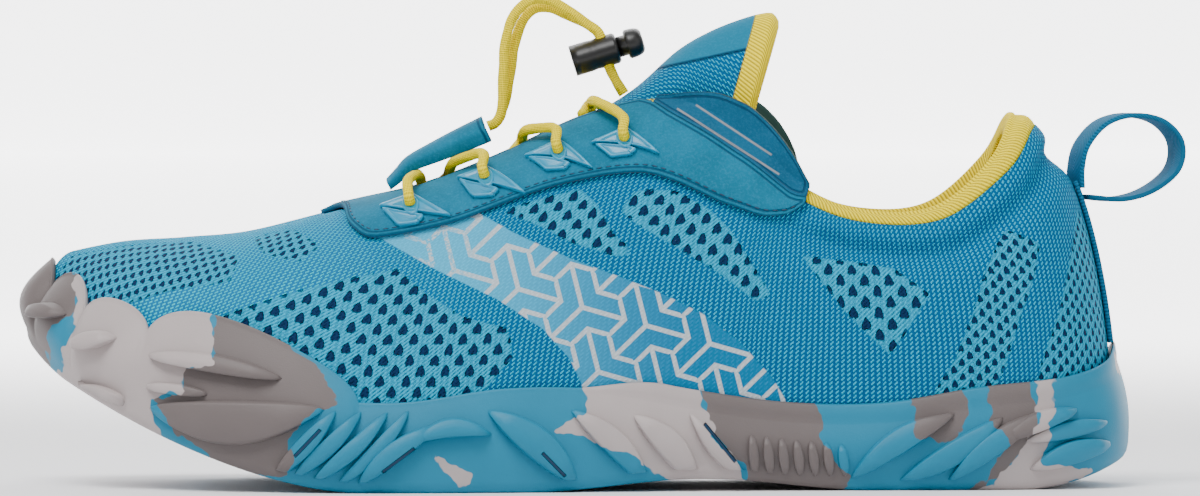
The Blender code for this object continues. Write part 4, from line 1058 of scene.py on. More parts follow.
def rubber_finish():
    """Matt moulded rubber, marbled in blue and two greys, with painted shade in its slots and tread
    grooves.
    """
    paints, made = colours(), Finish("marbled_rubber", 0.5, Specular_IOR_Level=0.3)
    place = made.place()
    swirl = made.scaled(made.noise(place, 170.0, 2.0), 0.006, -0.003)
    colour = paints.rubber_blue
    for zone, tone in (("warm", paints.rubber_warm), ("light", paints.rubber_light)):
        inside = made.step(made.math("ADD", made.field(zone), swirl), -RUBBER_BLUR, RUBBER_BLUR)
        colour = made.mix(inside, colour, tone)
    shade = made.brightness(made.scaled(made.noise(place, 60.0), 0.16, 0.92), colour)
    flat, slot = made.side_place(), 0.0
    for start, end in SLITS:
        slot = made.math("MAXIMUM", slot, made.segment(flat, start, end, SLIT_HALF))
    # Slots and tread grooves take painted shade
    deep = made.math("MAXIMUM", slot, made.step(made.field("relief"), -0.0002, -0.0012))
    made.colour(made.mix(deep, shade, paints.rubber_groove_shade))
    made.bump(made.times(slot, -1.0), 0.0012, 1.0)
    made.bump(made.noise(place, 2600.0, 2.0), 0.00008, 0.5)
    return made.material


def lace_finish():
    """Braided elastic, from its own length and turn, with painted shade between its strands."""
    paints, made = colours(), Finish("braided_elastic", 0.7, Specular_IOR_Level=0.1)
    spot = made.parts(made.surface())
    turn = made.times(spot[0], math.tau * STRANDS)
    run = made.times(spot[1], math.tau / STRAND_PITCH)
    weave = made.times(made.math("SINE", made.math("ADD", turn, run)),
                      made.math("SINE", made.math("SUBTRACT", turn, run)))
    made.colour(made.mix(made.step(weave, 0.5, -0.9), paints.lace, paints.lace_shade))
    made.bump(weave, 0.00012, 0.7)
    return made.material


def lining_finish():
    """Bright ribbed jersey."""
    made = Finish("ribbed_jersey", 0.8, Specular_IOR_Level=0.1)
    rib, yellow = jersey(made)
    made.colour(yellow)
    made.bump(rib, *JERSEY_BUMP)
    return made.material


def tape_finish():
    """Woven tape with fine diagonal ribs and painted shade in the grooves between them."""
    paints, made = colours(), Finish("woven_tape", 0.85, Specular_IOR_Level=0.15)
    spot = made.parts(made.surface())
    twill = made.math("SINE", made.times(made.math("ADD", spot[0], spot[1]), math.tau / TWILL))
    made.colour(made.mix(made.step(twill, 0.3, -0.8), paints.tape, tinted(paints.tape, 0.6)))
    made.bump(twill, 0.00012, 0.6)
    return made.material


def plain_finish(name, tone, roughness, grain=0.0, grain_scale=1200.0, **settings):
    """Moulded or spun stuff of one colour, with a fine grain."""
    made = Finish(name, roughness, **settings)
    cloud = made.noise(made.place(), 160.0, 3.0)
    made.colour(made.mix(made.step(cloud, 0.3, 0.75), tone, tinted(tone, 0.86)))
    if grain:
        made.bump(made.noise(made.place(), grain_scale, 3.0), grain, 0.5)
    return made.material


def foam_finish():
    """Jersey over foam, with small round dimples darkened by painted shade."""
    paints, made = colours(), Finish("insole_jersey", 0.85)
    away = made.vector("LENGTH", made.nearest(made.surface(), *DIMPLE_CELL))
    dimple = made.step(away, *DIMPLE_EDGE)
    made.colour(made.mix(dimple, paints.lining, tinted(paints.lining, 0.6)))
    made.bump(made.times(dimple, -1.0), 0.0004, 0.8)
    return made.material


# Mesh building


def surface_uv(points, base=0):
    """Distances along one row and up each column of a grid of points, in metres."""
    run = run_along(points[base])
    up = np.linalg.norm(np.diff(points, axis=0), axis=-1)
    rise = np.vstack([np.zeros(points.shape[1]), np.cumsum(up, axis=0)])
    return np.stack([np.broadcast_to(run, rise.shape), rise], -1)


def add_grid(bm, points, uv=None, fields=None):
    """A sheet through a grid of points, with its map and its named fields."""
    fields = fields or {}
    uv = surface_uv(points) if uv is None else uv
    rows, columns = points.shape[:2]
    layer = bm.loops.layers.uv.get("UVMap") or bm.loops.layers.uv.new("UVMap")
    held = {name: bm.verts.layers.float.get(name) or bm.verts.layers.float.new(name)
            for name in fields}
    made = bmesh.ops.create_grid(bm, x_segments=columns - 1, y_segments=rows - 1, size=0.5)
    spots = {}
    for vert in made["verts"]:
        row = round((vert.co.y + 0.5) * (rows - 1))
        column = round((vert.co.x + 0.5) * (columns - 1))
        spots[vert] = (row, column)
        vert.co = points[row, column]
        for name, values in fields.items():
            vert[held[name]] = values[row, column]
    for face in {face for vert in made["verts"] for face in vert.link_faces}:
        for loop in face.loops:
            loop[layer].uv = uv[spots[loop.vert]]


def capped(rows):
    """Rows of points with a closing row at each end."""
    first, last = (np.broadcast_to(row.mean(axis=0), row.shape) for row in rows[[0, -1]])
    return np.concatenate([first[None], rows, last[None]])


def surface_through(sections, steps):
    """A smooth surface through sections, rows from the first to the last."""
    rows = curve_through(np.array(sections).reshape(len(sections), -1), steps)
    rows = rows.reshape(len(rows), -1, 3).transpose(1, 0, 2)
    smoothed = curve_through(rows.reshape(len(rows), -1), 4)
    return smoothed.reshape(len(smoothed), -1, 3).transpose(1, 0, 2)


def around(points):
    """A grid whose first column is repeated at its end."""
    return np.concatenate([points, points[:, :1]], axis=1)


def add_piece(name, bm, finishes, nodes=(), slot=None, body="shoe", wall=0.0, closed=False):
    """A finished piece that rides on a body and stands for its CAD nodes."""
    bmesh.ops.remove_doubles(bm, verts=bm.verts, dist=1e-6)
    bmesh.ops.dissolve_degenerate(bm, edges=bm.edges, dist=1e-7)
    if closed:
        bmesh.ops.recalc_face_normals(bm, faces=bm.faces)
    mesh = bpy.data.meshes.new(name)
    bm.to_mesh(mesh)
    bm.free()
    mesh.shade_smooth()
    piece = bpy.data.objects.new(name, mesh)
    bpy.context.scene.collection.objects.link(piece)
    for finish in finishes:
        mesh.materials.append(finish)
    if wall:
        shell = piece.modifiers.new("Wall", "SOLIDIFY")
        shell.thickness = abs(wall)
        shell.offset = 1 if wall > 0 else -1
        shell.use_even_offset = False
        if len(finishes) > 1:
            shell.material_offset = 1
            shell.material_offset_rim = 1
    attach(piece, body)
    if nodes:
        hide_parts(*nodes)
    return piece


def add_sheet(name, points, finishes, nodes=(), slot=None, uv=None, fields=None, **options):
    """A piece made of one grid of points."""
    bm = bmesh.new()
    add_grid(bm, points, uv, fields)
    return add_piece(name, bm, finishes, nodes, slot, **options)


def cross_frames(points):
    """Two unit vectors across a line at each of its points, turning as little as they can."""
    ways = unit(np.gradient(points, axis=0))
    side = unit(np.cross(ways[0], (0.3, 1.0, 0.2)))
    sides = []
    for way in ways:
        side = unit(side - way * (side @ way))
        sides.append(side)
    sides = np.array(sides)
    return sides, np.cross(ways, sides)


def tube_grid(points, radius, turns=24, braid=0.0, relief=0.0):
    """A round tube along points with closed ends and, if asked, a braided surface."""
    sides, tops = cross_frames(points)
    run = run_along(points)
    ends = [0, *range(len(points)), len(points) - 1]
    radii = np.broadcast_to(radius, len(points))[ends].copy()
    radii[0] = radii[-1] = 0.0
    angle = np.linspace(0, math.tau, turns + 1)[:, None]
    wave = 0.0
    if braid:
        twist = math.tau * run[ends] / braid
        wave = relief * np.maximum(np.sin(4 * angle + twist), np.sin(4 * angle - twist))
    reach = (radii + wave * (radii > 0))[..., None]
    grid = points[ends] + reach * (np.cos(angle)[..., None] * sides[ends]
                                   + np.sin(angle)[..., None] * tops[ends])
    uv = np.stack(np.broadcast_arrays(angle / math.tau, run[ends]), -1)
    return grid, uv


def add_tube(name, points, radius, finish, nodes, slot, **options):
    grid, uv = tube_grid(points, radius, **options)
    return add_sheet(name, grid, [finish], nodes, slot, uv, closed=True)


def add_stitches(bm, points, length, thread):
    """A row of small stitches that lie along the points."""
    run = run_along(points)
    for middle in np.arange(length, run[-1] - length, length * 1.35):
        near, far = (Vector([np.interp(at, run, points[:, axis]) for axis in range(3)])
                     for at in (middle - length / 2, middle + length / 2))
        turn = (far - near).to_track_quat("Z", "Y").to_matrix().to_4x4()
        turn.translation = (near + far) / 2
        size = Matrix.Diagonal((thread, thread, length / 2, 1))
        bmesh.ops.create_icosphere(bm, subdivisions=1, radius=1, matrix=turn @ size)


def symmetric_places(count):
    """Places around the shoe, the same on both sides of it."""
    side = even_places(count, 0, TOE_RIB)
    return np.concatenate([side, TURN - side[-2::-1]])


# Shapes that several pieces share


def beside(place, share, along, up):
    """The place and share a short way along the shoe (X) and up (Z) from a given one."""
    step = 0.05
    here = skin(place, share)
    by_place = (skin(place + step, share) - here) / step
    by_share = (skin(place, share + step) - here) / step
    area = by_place[..., 0] * by_share[..., 2] - by_place[..., 2] * by_share[..., 0]
    return (place + (along * by_share[..., 2] - up * by_share[..., 0]) / area,
            share + (up * by_place[..., 0] - along * by_place[..., 2]) / area)


def throat_place(x, sign):
    """The place on one side where the throat's edge or the ridge is at x."""
    low, high = STAY_TAIL, TOE_RIB - 0.5
    for _ in range(24):
        middle = (low + high) / 2
        low, high = (middle, high) if skin(middle * sign % TURN, 1.0)[0] > x else (low, middle)
    return low * sign % TURN


def eyelet_end(index, sign):
    """Where the lace leaves an eyelet: at its mouth, over it, and clear of the plate."""
    place, share = EYELETS[index][0] * sign % TURN, EYELETS[index][1]
    plate = SEAT + SUEDE + PLATE_SEAT + PLATE_THICK
    points = [lifted(place, share, plate - GAP)]
    for up, gaps, over in ((0.4, 1, 1.25), (2.6, 2, 1.1)):
        spot = beside(place, share, 0, LACE_RADIUS * up)
        points.append(lifted(*spot, plate + gaps * GAP + LACE_RADIUS * over))
    return points


def over_edge(x, sign):
    """A lace point just over the stay's edge at the throat."""
    return lifted(throat_place(x, sign), 1.0, SEAT + 3 * GAP + SUEDE + LACE_RADIUS)


def tongue_section(row, depth):
    """Points across the tongue, the given depth under its top."""
    sunk = TONGUE_CLEAR + depth
    near, far = (lining(place, np.array((0.80, 0.90, 1.0)), sunk)
                 for place in (row.rib, TURN - row.rib))
    middle, half = (near[-1] + far[-1]) / 2, (far[-1] - near[-1]) / 2
    slack = 1 - (TONGUE_CLEAR + depth * 0.7) / max(np.linalg.norm(half), 0.004)
    top = np.array((TONGUE_RISE * row.lean, 0, TONGUE_RISE * row.rise))
    angle = np.radians(np.arange(180, -1, -30))[:, None]
    arch = middle + half * slack * np.cos(angle) + top * np.sin(angle)
    return np.vstack([near[:-1], arch, far[-2::-1]])


def tongue_crown(x):
    """Height of the tongue's crown at a place along the shoe."""
    spots = np.array([tongue_section(row, 0.0)[4] for row in TONGUE])
    return np.interp(x, spots[:, 0], spots[:, 2])


def on_tongue(x, across):
    """A lace point on the tongue, a share of the way from its crown to the throat's edge."""
    near, far = (skin(throat_place(x, sign), 1.0)[1] for sign in (1, -1))
    return np.array((x, (near + far) / 2 + (far - near) / 2 * across,
                     tongue_crown(x) + 2 * GAP + LACE_RADIUS))


def bottom_z(x):
    """Height of the tread at a place along the shoe."""
    share = (HEEL_BACK - x) / LENGTH
    heel = HEEL_ROLL * np.maximum(0, 1 - share / HEEL_ROLL_END) ** 2
    toe = TOE_ROLL * np.maximum(0, (share - TOE_ROLL_START) / (1 - TOE_ROLL_START)) ** 2
    arch = np.clip((share - ARCH_START) / (ARCH_END - ARCH_START), 0, 1)
    return base_z(x) + heel + toe + ARCH_RISE * np.sin(math.pi * arch) ** 2


def spine(places):
    """The sole's middle line, the nearest point for each place."""
    number = np.clip(rib_number(places), 1.0, 14.0)
    return (ribs(number).foot[..., :2] + ribs(TURN - number).foot[..., :2]) / 2


def lock_points(rings, turns):
    """Points around the lock's axis; a ring is its place along the axis and half sizes."""
    axis = np.array((math.cos(LOCK_TILT), 0, math.sin(LOCK_TILT)))
    high = np.array((-math.sin(LOCK_TILT), 0, math.cos(LOCK_TILT)))
    start = np.array((LACE_ROUTE[LOCK_STOP][0], 0, LACE_ROUTE[LOCK_STOP][1]))
    angle = np.linspace(0, math.tau, turns + 1)[None, :, None]
    rings = np.asarray(rings, float)[:, None]
    return (start + axis * rings[..., :1] + np.array((0, 1, 0)) * rings[..., 1:2] * np.cos(angle)
            + high * rings[..., 2:3] * np.sin(angle))


def side_view(points):
    return points[..., [0, 2]]


def edge_distance(points, top=True):
    """How far each point is from the sheet's foot, its first end and, if asked, its top."""
    uv = surface_uv(points, len(points) // 2)
    across, up = uv[..., 0], uv[..., 1]
    away = np.minimum(up, across)
    return np.minimum(away, up[-1] - up) if top else away


# The pieces


class StageOperator(bpy.types.Operator):
    """Camera, soft lights and a plain pale floor with its backdrop."""

    bl_idname = "shoe.stage"
    bl_label = "Stage"

    def execute(self, context):
        scene, stage = context.scene, context.scene.shoe_stage
        turn, rise = stage.azimuth, stage.elevation
        back = Vector((math.sin(turn) * math.cos(rise), -math.cos(turn) * math.cos(rise),
                       math.sin(rise)))
        camera = bpy.data.objects.new("camera", bpy.data.cameras.new("camera"))
        camera.data.lens = 36 * stage.distance / stage.view_width
        camera.location = Vector(stage.target) + back * stage.distance
        camera.rotation_euler = back.to_track_quat("Z", "Y").to_euler()
        scene.collection.objects.link(camera)
        scene.camera = camera
        for name, power, size, spot in (
                ("key", stage.key, 1.0, (-0.55, -0.75, 1.6)),
                ("fill", stage.fill, 1.4, (1.0, -1.2, 0.8)),
                ("back", stage.fill, 1.2, (0.2, 1.2, 1.3))):
            light = bpy.data.lights.new(name, "AREA")
            light.energy = power
            light.size = size
            lamp = bpy.data.objects.new(name, light)
            lamp.location = spot
            aim = Vector(spot) - Vector(stage.target)
            lamp.rotation_euler = aim.to_track_quat("Z", "Y").to_euler()
            scene.collection.objects.link(lamp)
        world = bpy.data.worlds.new("studio")
        world.use_nodes = True
        background = world.node_tree.nodes["Background"].inputs
        background["Color"].default_value = (1, 1, 1, 1)
        background["Strength"].default_value = stage.sky
        scene.world = world
        self.sweep(scene, stage)
        return {"FINISHED"}

    def sweep(self, scene, stage):
        """A floor that curves up into a lit backdrop."""
        angle = np.linspace(0, math.pi / 2, 17)
        depth = np.concatenate([[-stage.floor / 2], stage.floor / 2 - 1 + np.sin(angle),
                                [stage.floor / 2]])
        height = np.concatenate([[0], 1 - np.cos(angle), [stage.floor / 2]])
        width = np.array((-0.5, 0.5)) * stage.floor
        points = np.stack(np.broadcast_arrays(width[None], depth[:, None], height[:, None]), -1)
        bm = bmesh.new()
        add_grid(bm, points)
        mesh = bpy.data.meshes.new("sweep")
        bm.to_mesh(mesh)
        bm.free()
        mesh.shade_smooth()
        paper = Finish("sweep_paper", 0.9)
        paper.colour(colours().floor)
        paper.put(paper.shader.inputs["Emission Color"], (1, 1, 1, 1))
        lit = paper.step(paper.parts(paper.place())[1], 0.25, 1.5)
        paper.put(paper.shader.inputs["Emission Strength"], paper.times(lit, stage.glow))
        mesh.materials.append(paper.material)
        ground = bpy.data.objects.new("sweep", mesh)
        scene.collection.objects.link(ground)


class LaceEndsOperator(bpy.types.Operator):
    """The free loop of the lace and the cord lock on it."""

    bl_idname = "shoe.lace_ends"
    bl_label = "Lace ends and lock"

    def execute(self, context):
        finish = lace_finish()
        lock = self.lock()
        for name, sign in (("lace_end_lateral", -1), ("lace_end_medial", 1)):
            route = np.array([(x, CORD_APART * sign, z) for x, z in LACE_ROUTE])
            free = len(route) - SWAY_START - SWAY_REST
            slack = np.clip((np.arange(len(route)) - SWAY_START) / free, 0, 1)
            aside = unit(np.cross(np.gradient(route, axis=0), (0, 1, 0)))
            route = route + aside * sign * STRAND_SWAY * np.sin(math.pi * slack)[:, None]
            path = curve_through(route, 8)
            cord = add_tube(name + "_braid", path, BRAID_RADIUS, finish, [name], "lace_yellow",
                            turns=32, braid=sizes().braid * 4, relief=BRAID_RELIEF)
        return {"FINISHED"}

    def lock(self):
        """A smooth oval barrel and the button that slides into it."""
        black = plain_finish("lock_plastic", colours().lock, 0.42, 0.00004)
        rim, wall = BARREL_REAR + GAP, BARREL_WALL
        rings = [(-BARREL_FRONT + NOSE_DIP, 0, 0)]
        for share in np.linspace(0.35, 1, 5):
            rings.append((-BARREL_FRONT + NOSE_ROUND * (1 - math.sin(share * math.pi / 2)),
                          (BARREL_WIDE - wall) * share ** 0.4 + wall * share,
                          (BARREL_HIGH - wall) * share ** 0.4 + wall * share))
        for along in np.linspace(-BARREL_FRONT + NOSE_END, rim - MOUTH_START, 26):
            waist = WAIST_DEPTH * math.exp(-((along - WAIST_AT) / WAIST_WIDE) ** 2)
            rings.append((along, BARREL_WIDE - waist, BARREL_HIGH - waist))
        rings += [(rim, BARREL_WIDE - MOUTH_EDGE, BARREL_HIGH - MOUTH_EDGE),
                  (rim, BARREL_WIDE - wall, BARREL_HIGH - wall),
                  (BARREL_FLOOR, BARREL_WIDE - wall, BARREL_HIGH - wall), (BARREL_FLOOR, 0, 0)]
        barrel = add_sheet("lock_barrel_moulded", lock_points(rings, 96), [black],
                           ["lock_barrel"], "lock_black", closed=True)
        neck, end = rim + HEAD_START, BARREL_REAR + BUTTON_NECK
        slim_wide, slim_high = BARREL_WIDE - wall - GAP, BARREL_HIGH - wall - GAP
        rings = [(neck, 0, 0), (neck, slim_wide, slim_high), (end, slim_wide, slim_high),
                 (end + HEAD_START, HEAD_WIDE - HEAD_EDGE, HEAD_HIGH - HEAD_EDGE),
                 (end + HEAD_START + HEAD_EDGE, HEAD_WIDE, HEAD_HIGH)]
        for share in np.linspace(0, 1, 7):
            size = math.cos(share * math.pi / 2) ** HEAD_POWER
            rings.append((end + lerp(HEAD_CROWN, BUTTON_HEAD, math.sin(share * math.pi / 2)),
                          HEAD_WIDE * size, HEAD_HIGH * size))
        button = add_sheet("lock_button_moulded", lock_points(rings, 64), [black],
                           ["lock_button"], "lock_black", body="button", closed=True)
        return [barrel, button]


class UpperOperator(bpy.types.Operator):
    """The knit upper."""

    bl_idname = "shoe.upper"
    bl_label = "Knit upper"

    def execute(self, context):
        places = symmetric_places(241)
        shares = np.concatenate([np.linspace(0, 0.9, 46), np.linspace(0.915, 1, 7)])
        sheet = skin(places[None], shares[:, None] * collar_share(places))
        roll = collar_roll(places, 0.0, KNIT_LAP, 5)
        roll = lerp(roll, sheet[-1], piping(places)[:, None])
        points = np.concatenate([sheet, roll[1:]])
        uv = surface_uv(points, 26)[:, ::-1]
        points = points[:, ::-1]
        flat = side_view(points)
        add_sheet("upper_knit", points, [knit_finish()], ["upper"], "knit_blue", uv, {
            "wide": zone_depth(flat, WIDE_ZONES), "fine": zone_depth(flat, FINE_ZONES),
            "band": outline_depth(flat, BAND)}, wall=-sizes().knit_thick)
        return {"FINISHED"}


def collar_roll(places, start, end, count):
    """The round edge of the collar and throat, from the outer surface over to the inner."""
    open_edge = smooth((THROAT_RIB - 0.02 - rib_number(places)) / 0.3)[None, :, None]
    share = lerp(start, end, np.linspace(0, 1, count)[:, None] + 0 * places)[..., None]
    outer, inner = skin(places, 1.0), lining(places, LIP_SHARE)
    wide = np.linalg.norm(outer - inner, axis=-1)[:, None]
    top = outer + (UP * 0.50 - ribs(places).outward * 0.35) * wide
    return outer + (bow(outer, top, inner, share) - outer) * open_edge


class LiningOperator(bpy.types.Operator):
    """The padded yellow lining of the collar, down to the insole."""

    bl_idname = "shoe.lining"
    bl_label = "Lining"

    def execute(self, context):
        places = symmetric_places(161)
        piped = piping(places)
        roll = collar_roll(places, LINING_LAP * (1 - piped), 1.0, 9)
        rise = np.linspace(0, 1, 6)[:, None]
        edge = lifted(places, lerp(collar_share(places), 1.0, rise),
                      PIPING_SWELL * np.sin(math.pi * rise)[..., None] - PIPING_SINK)
        edge = lerp(roll[:1], edge, piped[:, None])
        down = np.linspace(LIP_SHARE, 0.0, 34)[:, None]
        clear = LINING_CLEAR * padding(places) * smooth((LIP_SHARE - down) / 0.08)
        inside = lining(places[None], down) - ribs(places).outward * clear[..., None]
        ridge = (rib_number(places) > THROAT_RIB - 0.02)[None, :, None]
        joined = np.where(ridge, lining(places, 1.0), np.concatenate([edge[:-1], roll]))
        points = np.concatenate([joined, inside[1:]])
        piece = add_sheet("collar_lining", points[:, ::-1], [lining_finish()],
                          slot="lining_yellow", wall=-sizes().lining_thick)
        return {"FINISHED"}


class SoleOperator(bpy.types.Operator):
    """The moulded cup sole with its toe lobes, raised flames and chevron tread."""

    bl_idname = "shoe.sole"
    bl_label = "Sole"

    def execute(self, context):
        places = symmetric_places(441)[:-1]
        part = ribs(places)
        top = rim_share(places)
        outer_top = lifted(places, top, GAP + RIM_WALL)
        inner_top = lifted(places, top, GAP)
        low = self.flank(places, np.zeros(len(places)), 0.0)
        middle = spine(places)
        rows, relief = [], []

        def add(points, depth=None):
            rows.append(points)
            relief.append(np.zeros(len(places)) if depth is None else depth)

        floor = np.concatenate([middle, (base_z(middle[:, 0]) + BASE_THICK)[:, None]], 1)
        add(floor)
        foot = part.foot + part.outward * GAP
        foot[:, 2] = base_z(foot[:, 0]) + BASE_THICK
        add(foot)
        for share in (0.25, 0.5, 0.75, 0.95):
            add(lifted(places, top * share, GAP))
        rim_middle, out = (outer_top + inner_top) / 2, (outer_top - inner_top) / 2
        lift = UP * (CREST * padding(places)[:, None] + RIM_WALL * RIM_ROUND)
        for angle in np.radians((20, 60, 90, 120, 160)):
            add(rim_middle - out * math.cos(angle) + lift * math.sin(angle))
        for rise in np.linspace(1, 0, 30):
            add(self.flank(places, np.full(len(places), rise), 0.0))
        tread = part.foot + part.outward * (SIDE_OUT - EDGE_TUCK)
        tread[:, 2] = bottom_z(tread[:, 0])
        for angle in np.radians((35, 65, 90)):
            add(lerp(tread, low, 1 - math.sin(angle)) + part.outward
                * EDGE_TUCK * (math.cos(angle) - (1 - math.sin(angle))) * 0.8)
        for share in np.linspace(0.06, 1, 16):
            spot = lerp(tread[:, :2], middle, share)
            depth = self.tread_relief(spot) * smooth((1 - share) * 20) * smooth(share / 0.10)
            add(np.concatenate([spot, (bottom_z(spot[:, 0]) + depth)[:, None]], 1), -depth)
        points = around(np.array(rows))
        bm = bmesh.new()
        add_grid(bm, points, fields=self.rubber_fields(points, around(np.array(relief))))
        self.add_flames(bm)
        add_piece("sole_rubber_moulded", bm, [rubber_finish()], ["outsole"], "sole_rubber",
                  closed=True)
        return {"FINISHED"}

    def rubber_fields(self, points, relief):
        """What the rubber's finish reads: the tread's relief and how far inside each grey."""
        flat = side_view(points)
        return {"relief": relief, "light": zone_depth(flat, LIGHT_RUBBER),
                "warm": zone_depth(flat, WARM_RUBBER)}

    def flank(self, places, rises, height):
        """Points on the sole's side, a height off it; rise 0 is its foot and 1 the rim."""
        part = ribs(places)
        top = lifted(places, rim_share(places), GAP + RIM_WALL)
        low = part.foot + part.outward * SIDE_OUT
        low[..., 2] = bottom_z(low[..., 0]) + EDGE_HEIGHT
        out = (1 + lobe_swell(places)[1]) * SIDE_BULGE * np.sin(math.pi * rises) + height
        return lerp(low, top, rises[..., None]) + part.outward * out[..., None]

    def seen_flank(self, x, z, height, sign):
        """The point of one side that is seen at (X, Z)."""
        fine = np.linspace(0.3, TOE_RIB - 0.25, 600)
        middle = self.flank(fine, np.full(len(fine), 0.5), 0.0)
        places = np.interp(-x, -middle[:, 0], fine)
        low = self.flank(places, np.zeros(np.shape(x)), 0 * x)[..., 2]
        high = self.flank(places, np.ones(np.shape(x)), 0 * x)[..., 2]
        rises = np.clip((z - low) / (high - low), 0.01, 0.98)
        return self.flank(places * sign % TURN, rises, height)

    def add_flames(self, bm):
        """Raised flames and teeth on both sides."""
        flames = list(FLAMES)
        for step in range(TEETH):
            x = TEETH_START + TEETH_STEP * step
            flames.append(TOOTH._replace(x=x, z=TOOTH.z - TEETH_FALL * step, end_x=x + TOOTH.end_x))
        share, section = np.linspace(0, 1, 28), np.array(FLAME_SECTION)
        for flame in flames:
            wide = flame.wide * np.sin(math.pi * share) ** lerp(0.75, 0.12, flame.blunt)
            tall = flame.high * np.minimum(1, 1.4 * np.sin(math.pi * share) ** 0.6)
            self.add_raised(bm, flame, share, wide, tall, section)

    def add_raised(self, bm, line, share, wide, tall, section):
        """A long raised form along a bowed line on both sides of the sole."""
        run = np.array((line.end_x - line.x, line.end_z - line.z))
        aside = np.array((-run[1], run[0])) / np.linalg.norm(run)
        middle = np.array((line.x, line.z)) + share[:, None] * run
        middle = middle + aside * line.bow * np.sin(math.pi * share)[:, None]
        spots = middle[None] + (section[:, :1] * wide)[..., None] * aside
        height = np.maximum(section[:, 1:] * tall, -FLAME_SINK)
        for sign in (1, -1):
            points = self.seen_flank(spots[..., 0], spots[..., 1], height, sign)
            under = self.seen_flank(spots[::-1, :, 0], spots[::-1, :, 1],
                                    np.full(height.shape, -FLAME_ROOT), sign)
            grid = capped(np.concatenate([points, under[1:-1], points[:1]]).transpose(1, 0, 2))
            add_grid(bm, grid, fields=self.rubber_fields(grid, np.zeros(grid.shape[:2])))

    def tread_relief(self, points):
        """How deep the tread's grooves are at points (X, Y)."""
        deep = np.zeros(len(points))
        lean = GROOVE_LEAN * np.abs(points[:, 1]) / GROOVE_REACH
        for share in GROOVES:
            off = np.abs(points[:, 0] - (HEEL_BACK - share * LENGTH + lean))
            deep = np.maximum(deep, smooth((GROOVE_WIDTH * 0.62 - off) / (GROOVE_WIDTH * 0.24)))
        return deep * GROOVE_DEPTH


class InsoleOperator(bpy.types.Operator):
    """The jersey-covered insole."""

    bl_idname = "shoe.insole"
    bl_label = "Insole"

    def execute(self, context):
        places = symmetric_places(161)[:-1]
        part, middle = ribs(places), spine(places)
        edge = (part.foot - part.outward * (KNIT_WALL + INSOLE_CLEAR))[:, :2]
        rows = []
        for share, height in ((0, 0), (1, 0), (1, 0.6), (0.985, 0.9), (0.955, 1), (0.7, 0.97),
                              (0.35, 0.95), (0, 0.95)):
            spot = lerp(middle, edge, share)
            level = base_z(spot[:, 0]) + BASE_THICK + SEAT + INSOLE_THICK * height
            rows.append(np.concatenate([spot, level[:, None]], 1))
        points = around(np.array(rows))
        add_sheet("insole_jersey", points, [foam_finish()], ["insole"], "insole_foam",
                  points[..., :2], closed=True)
        return {"FINISHED"}


class StayOperator(bpy.types.Operator):
    """The suede stay around the throat, with its sewn edge."""

    bl_idname = "shoe.stay"
    bl_label = "Suede stay"

    def execute(self, context):
        number = np.linspace(STAY_TAIL, STAY_FRONT, 150)
        low = from_table(STAY_LOW, number)
        high = np.where(number < STAY_SEAM[-1][0], from_table(STAY_SEAM, number), 1.0)
        shares = lerp(low, high, np.linspace(0, 1, 25)[:, None])
        bm, sewn = bmesh.new(), bmesh.new()
        for sign in (1, -1):
            points = lifted(number * sign % TURN, shares, SEAT + SUEDE)
            away = edge_distance(points)
            throat = (number > THROAT_RIB - 0.1)[None]
            away = np.where(throat, edge_distance(points, top=False), away)
            turned = slice(None, None, -sign)
            add_grid(bm, points[:, turned], fields={"edge": away[:, turned]})
            line = lifted(number * sign % TURN, low + STITCH_INSET, SEAT + SUEDE + STITCH_LIFT)
            add_stitches(sewn, line[2:-1], sizes().stitch, sizes().thread)
        suede = suede_finish("stay_suede", colours().suede)
        add_piece("stay_suede", bm, [suede], ["eyestay"], "suede_blue", wall=-SUEDE)
        thread = plain_finish("sewing_thread", colours().seam, 0.6)
        add_piece("stay_stitches", sewn, [thread], slot="suede_blue")
        return {"FINISHED"}


class WingsOperator(bpy.types.Operator):
    """The ankle wings behind the stay, with their silver lines."""

    bl_idname = "shoe.wings"
    bl_label = "Ankle wings"

    def execute(self, context):
        paints = colours()
        face = suede_finish("wing_suede", paints.suede_dark, WING_LINES)
        # The wings' backs take the suede's back colour darkened by painted shade
        back = plain_finish("wing_back_and_shade", paints.suede_back_and_shade, 0.85, 0.0001)
        number = np.linspace(STAY_TAIL, WING_END, 60)
        for name, sign in SIDES:
            place = number * sign % TURN
            start = from_table(STAY_SEAM, number) + WING_SEAM
            rise = WING_RISE * from_table(WING_TOP, number)
            away = unit(UP + ribs(place).outward * WING_LEAN)
            sheet = lifted(place, lerp(start, 1.0, np.linspace(0, 1, 14)[:, None]), SEAT + SUEDE)
            up = np.linspace(0, 1, 13)[1:, None, None]
            free = sheet[-1] + away * rise[:, None] * up
            if sign < 0:
                free = free + FAR_WING * (rise / WING_RISE)[:, None] * up
            points = np.concatenate([sheet, free])
            turned = slice(None, None, -sign)
            add_sheet("wing_" + name, points[:, turned], [face, back], ["ankle_wing_" + name],
                      "suede_dark", fields={"edge": edge_distance(points)[:, turned]},
                      wall=-SUEDE)
        return {"FINISHED"}


